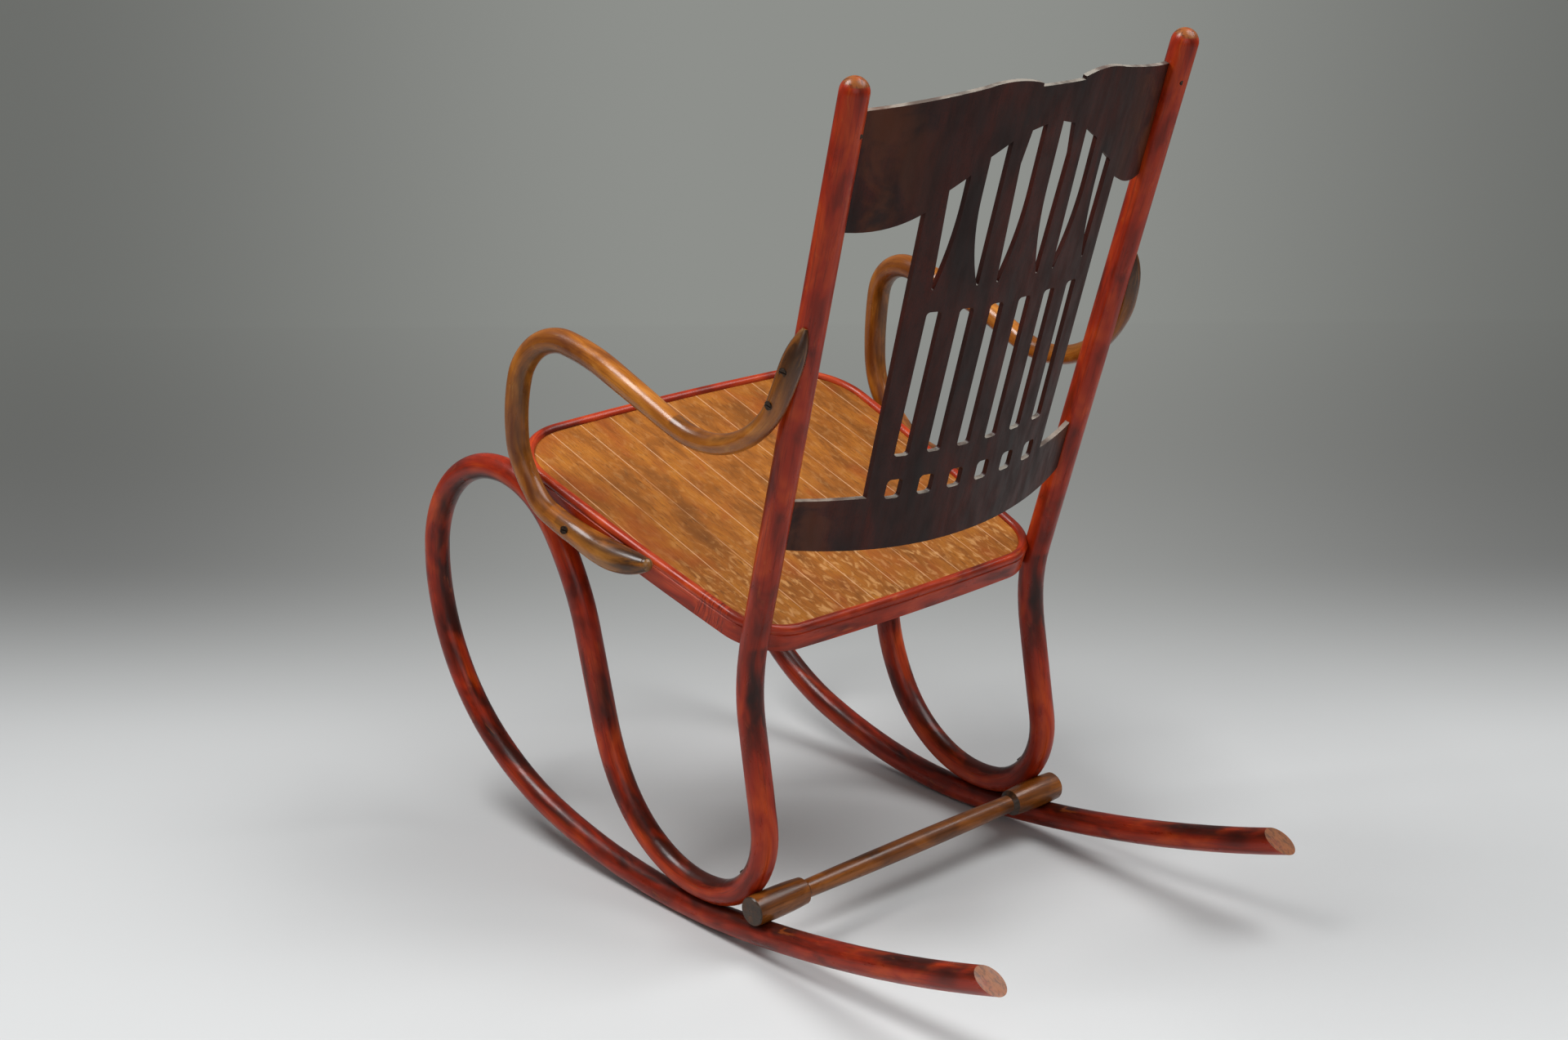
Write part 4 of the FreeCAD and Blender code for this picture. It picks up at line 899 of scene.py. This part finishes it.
@dataclass(frozen=True)
class StudioPaper:
    """Matt paper, unrolled on the floor; painted light fades from pale round the chair to grey behind it.

    Near the chair it takes light and shadow on top of that painted falloff. Further off, rays from the
    camera see the painted tone as a glow, so that the backdrop needs no light of its own.

    Attributes:
        reach: The run in metres, past the chair's middle, over which the painted light fades.
        painted_light_tones: Places in that run, from 0 to 1, and their painted greys.
        glow: Where the paper goes over from taking light to showing its painted tone, in metres.
        sides: Painted shade: how the tone dims to both sides, by the sideways slope from the viewpoint.
    """

    name: str = "matt_studio_paper"
    reach: tuple[float, float] = (-0.5, 2.7)
    painted_light_tones: tuple[tuple[float, str], ...] = (
        (0.03, "#CCCDCD"), (0.12, "#C8C9C9"), (0.2, "#C2C3C3"), (0.32, "#B0B1B1"), (0.48, "#959694"),
        (0.69, "#858683"), (0.98, "#8E908C"))
    glow: SoftStep = SoftStep(0.35, 1.15)
    sides: SoftStep = SoftStep(0.05, 0.34, 1.0, 0.55)
    roughness: float = 0.9
    specular: float = 0.2

    def material(self, viewpoint: Vector) -> bpy.types.Material:
        """Makes the finish as a material.

        Args:
            viewpoint: The place on the floor from which the paper runs off, in metres.

        Returns:
            The material, whose painted light is fixed to the floor.
        """
        material = new_material(self.name)
        tree = material.node_tree
        place = add_node(tree, "ShaderNodeTexCoord").outputs["Object"]
        away = -viewpoint.normalized()
        depth, aside = [add_node(tree, "ShaderNodeVectorMath", {"operation": "DOT_PRODUCT", 1: way},
                                 {0: place}).outputs["Value"]
                        for way in (away, Vector((away.y, -away.x, 0.0)))]
        run = add_node(tree, "ShaderNodeMapRange", {"From Min": self.reach[0], "From Max": self.reach[1]},
                       {"Value": depth})
        # Painted light: the paper's grey falls off with depth, pale near the chair and darker behind it.
        tone = add_node(tree, "ShaderNodeValToRGB", {"stops": self.painted_light_tones}, {"Fac": run.outputs[0]})
        tone.color_ramp.interpolation = "B_SPLINE"
        far = add_node(tree, "ShaderNodeMath", {"operation": "ADD", 1: viewpoint.length}, {0: depth})
        slope = add_node(tree, "ShaderNodeMath", {"operation": "DIVIDE"}, {0: aside, 1: far.outputs[0]})
        size = add_node(tree, "ShaderNodeMath", {"operation": "ABSOLUTE"}, {0: slope.outputs[0]})
        # Painted shade: the glow dims towards both sides.
        painted_side_falloff = add_node(tree, "ShaderNodeMapRange", self.sides.settings, {"Value": size.outputs[0]})
        paper = add_node(tree, "ShaderNodeBsdfPrincipled",
                         {"Roughness": self.roughness, "Specular IOR Level": self.specular},
                         {"Base Color": tone.outputs[0]})
        glow = add_node(tree, "ShaderNodeEmission", {},
                        {"Color": tone.outputs[0], "Strength": painted_side_falloff.outputs[0]})
        beyond = add_node(tree, "ShaderNodeMapRange", self.glow.settings, {"Value": depth})
        seen = add_node(tree, "ShaderNodeLightPath")
        share = add_node(tree, "ShaderNodeMath", {"operation": "MULTIPLY"},
                         {0: beyond.outputs[0], 1: seen.outputs["Is Camera Ray"]})
        shader = add_node(tree, "ShaderNodeMixShader", {},
                          {0: share.outputs[0], 1: paper.outputs[0], 2: glow.outputs[0]})
        add_node(tree, "ShaderNodeOutputMaterial", {}, {"Surface": shader.outputs[0]})
        return material


@dataclass(frozen=True)
class SoftLamp:
    """A square soft lamp: its place and side length in metres, and its power in watts."""

    name: str
    place: tuple[float, float, float]
    size: float
    watts: float

    def hang(self, target: Vector) -> None:
        """Hangs the lamp so that it faces a place.

        Args:
            target: The place that it faces, in metres.
        """
        data = bpy.data.lights.new(self.name, "AREA")
        data.size = self.size
        data.energy = self.watts
        lamp = bpy.data.objects.new(self.name, data)
        lamp.location = self.place
        lamp.rotation_euler = (target - Vector(self.place)).to_track_quat("-Z", "Y").to_euler()
        bpy.context.scene.collection.objects.link(lamp)


@dataclass
class Studio:
    """A plain pale floor, soft lamps and the camera at the photograph's angle.

    Places are in metres, and the lens and the sensor are in mm.
    """

    camera_at: Vector = field(default_factory=lambda: Vector((1.8653, 1.97931, 1.31317)))
    camera_right: Vector = field(default_factory=lambda: Vector((-0.740887, 0.671540, -0.010996)))
    camera_up: Vector = field(default_factory=lambda: Vector((-0.216876, -0.223712, 0.950220)))
    lens: float = 58.125
    sensor: float = 36.0
    floor_half: float = 14.0
    paper: StudioPaper = StudioPaper()
    target: Vector = field(default_factory=lambda: Vector((0.0, 0.0, 0.4)))
    lamps: tuple[SoftLamp, ...] = (
        SoftLamp("key_lamp", (1.2, -0.75, 3.0), 1.2, 76.0),
        SoftLamp("top_lamp", (-1.35, 1.1, 3.0), 2.0, 78.0),
        SoftLamp("fill_lamp", (1.6, 2.4, 1.7), 2.0, 16.0))
    air: str = "#B9BCBE"
    air_strength: float = 0.35

    def camera(self) -> None:
        """Sets up the camera."""
        data = bpy.data.cameras.new("camera")
        data.lens = self.lens
        data.sensor_width = self.sensor
        data.sensor_fit = "HORIZONTAL"
        camera = bpy.data.objects.new("camera", data)
        back = self.camera_right.cross(self.camera_up)
        turned = Matrix((self.camera_right, self.camera_up, back)).transposed().to_4x4()
        camera.matrix_world = Matrix.Translation(self.camera_at) @ turned
        bpy.context.scene.collection.objects.link(camera)
        bpy.context.scene.camera = camera

    def floor(self) -> None:
        """Lays the paper floor."""
        half = self.floor_half
        corners = [(-half, -half, 0), (half, -half, 0), (half, half, 0), (-half, half, 0)]
        mesh = bpy.data.meshes.new("floor")
        mesh.from_pydata(corners, [], [(0, 1, 2, 3)])
        mesh.materials.append(self.paper.material(Vector((self.camera_at.x, self.camera_at.y, 0.0))))
        floor = bpy.data.objects.new("floor", mesh)
        bpy.context.scene.collection.objects.link(floor)

    def world(self) -> None:
        """Fills the room with a little even light."""
        world = bpy.data.worlds.new("studio_air")
        world.use_nodes = True
        ground = world.node_tree.nodes["Background"]
        ground.inputs["Color"].default_value = linear(self.air)
        ground.inputs["Strength"].default_value = self.air_strength
        bpy.context.scene.world = world

    def build(self) -> None:
        """Makes the camera, floor, lamps and world."""
        self.camera()
        self.floor()
        for lamp in self.lamps:
            lamp.hang(self.target)
        self.world()
        bpy.context.scene.view_settings.view_transform = "Standard"


def main() -> None:
    """Builds the sub-assemblies in order and reports each of them."""
    logging.basicConfig(level=logging.INFO)
    for part in (Studio(), SideFrames(), Arms(), Seat(), Back(), Stretcher(), Fasteners()):
        part.build()
        LOG.info("%s done", type(part).__name__)


if __name__ == "__main__":
    main()
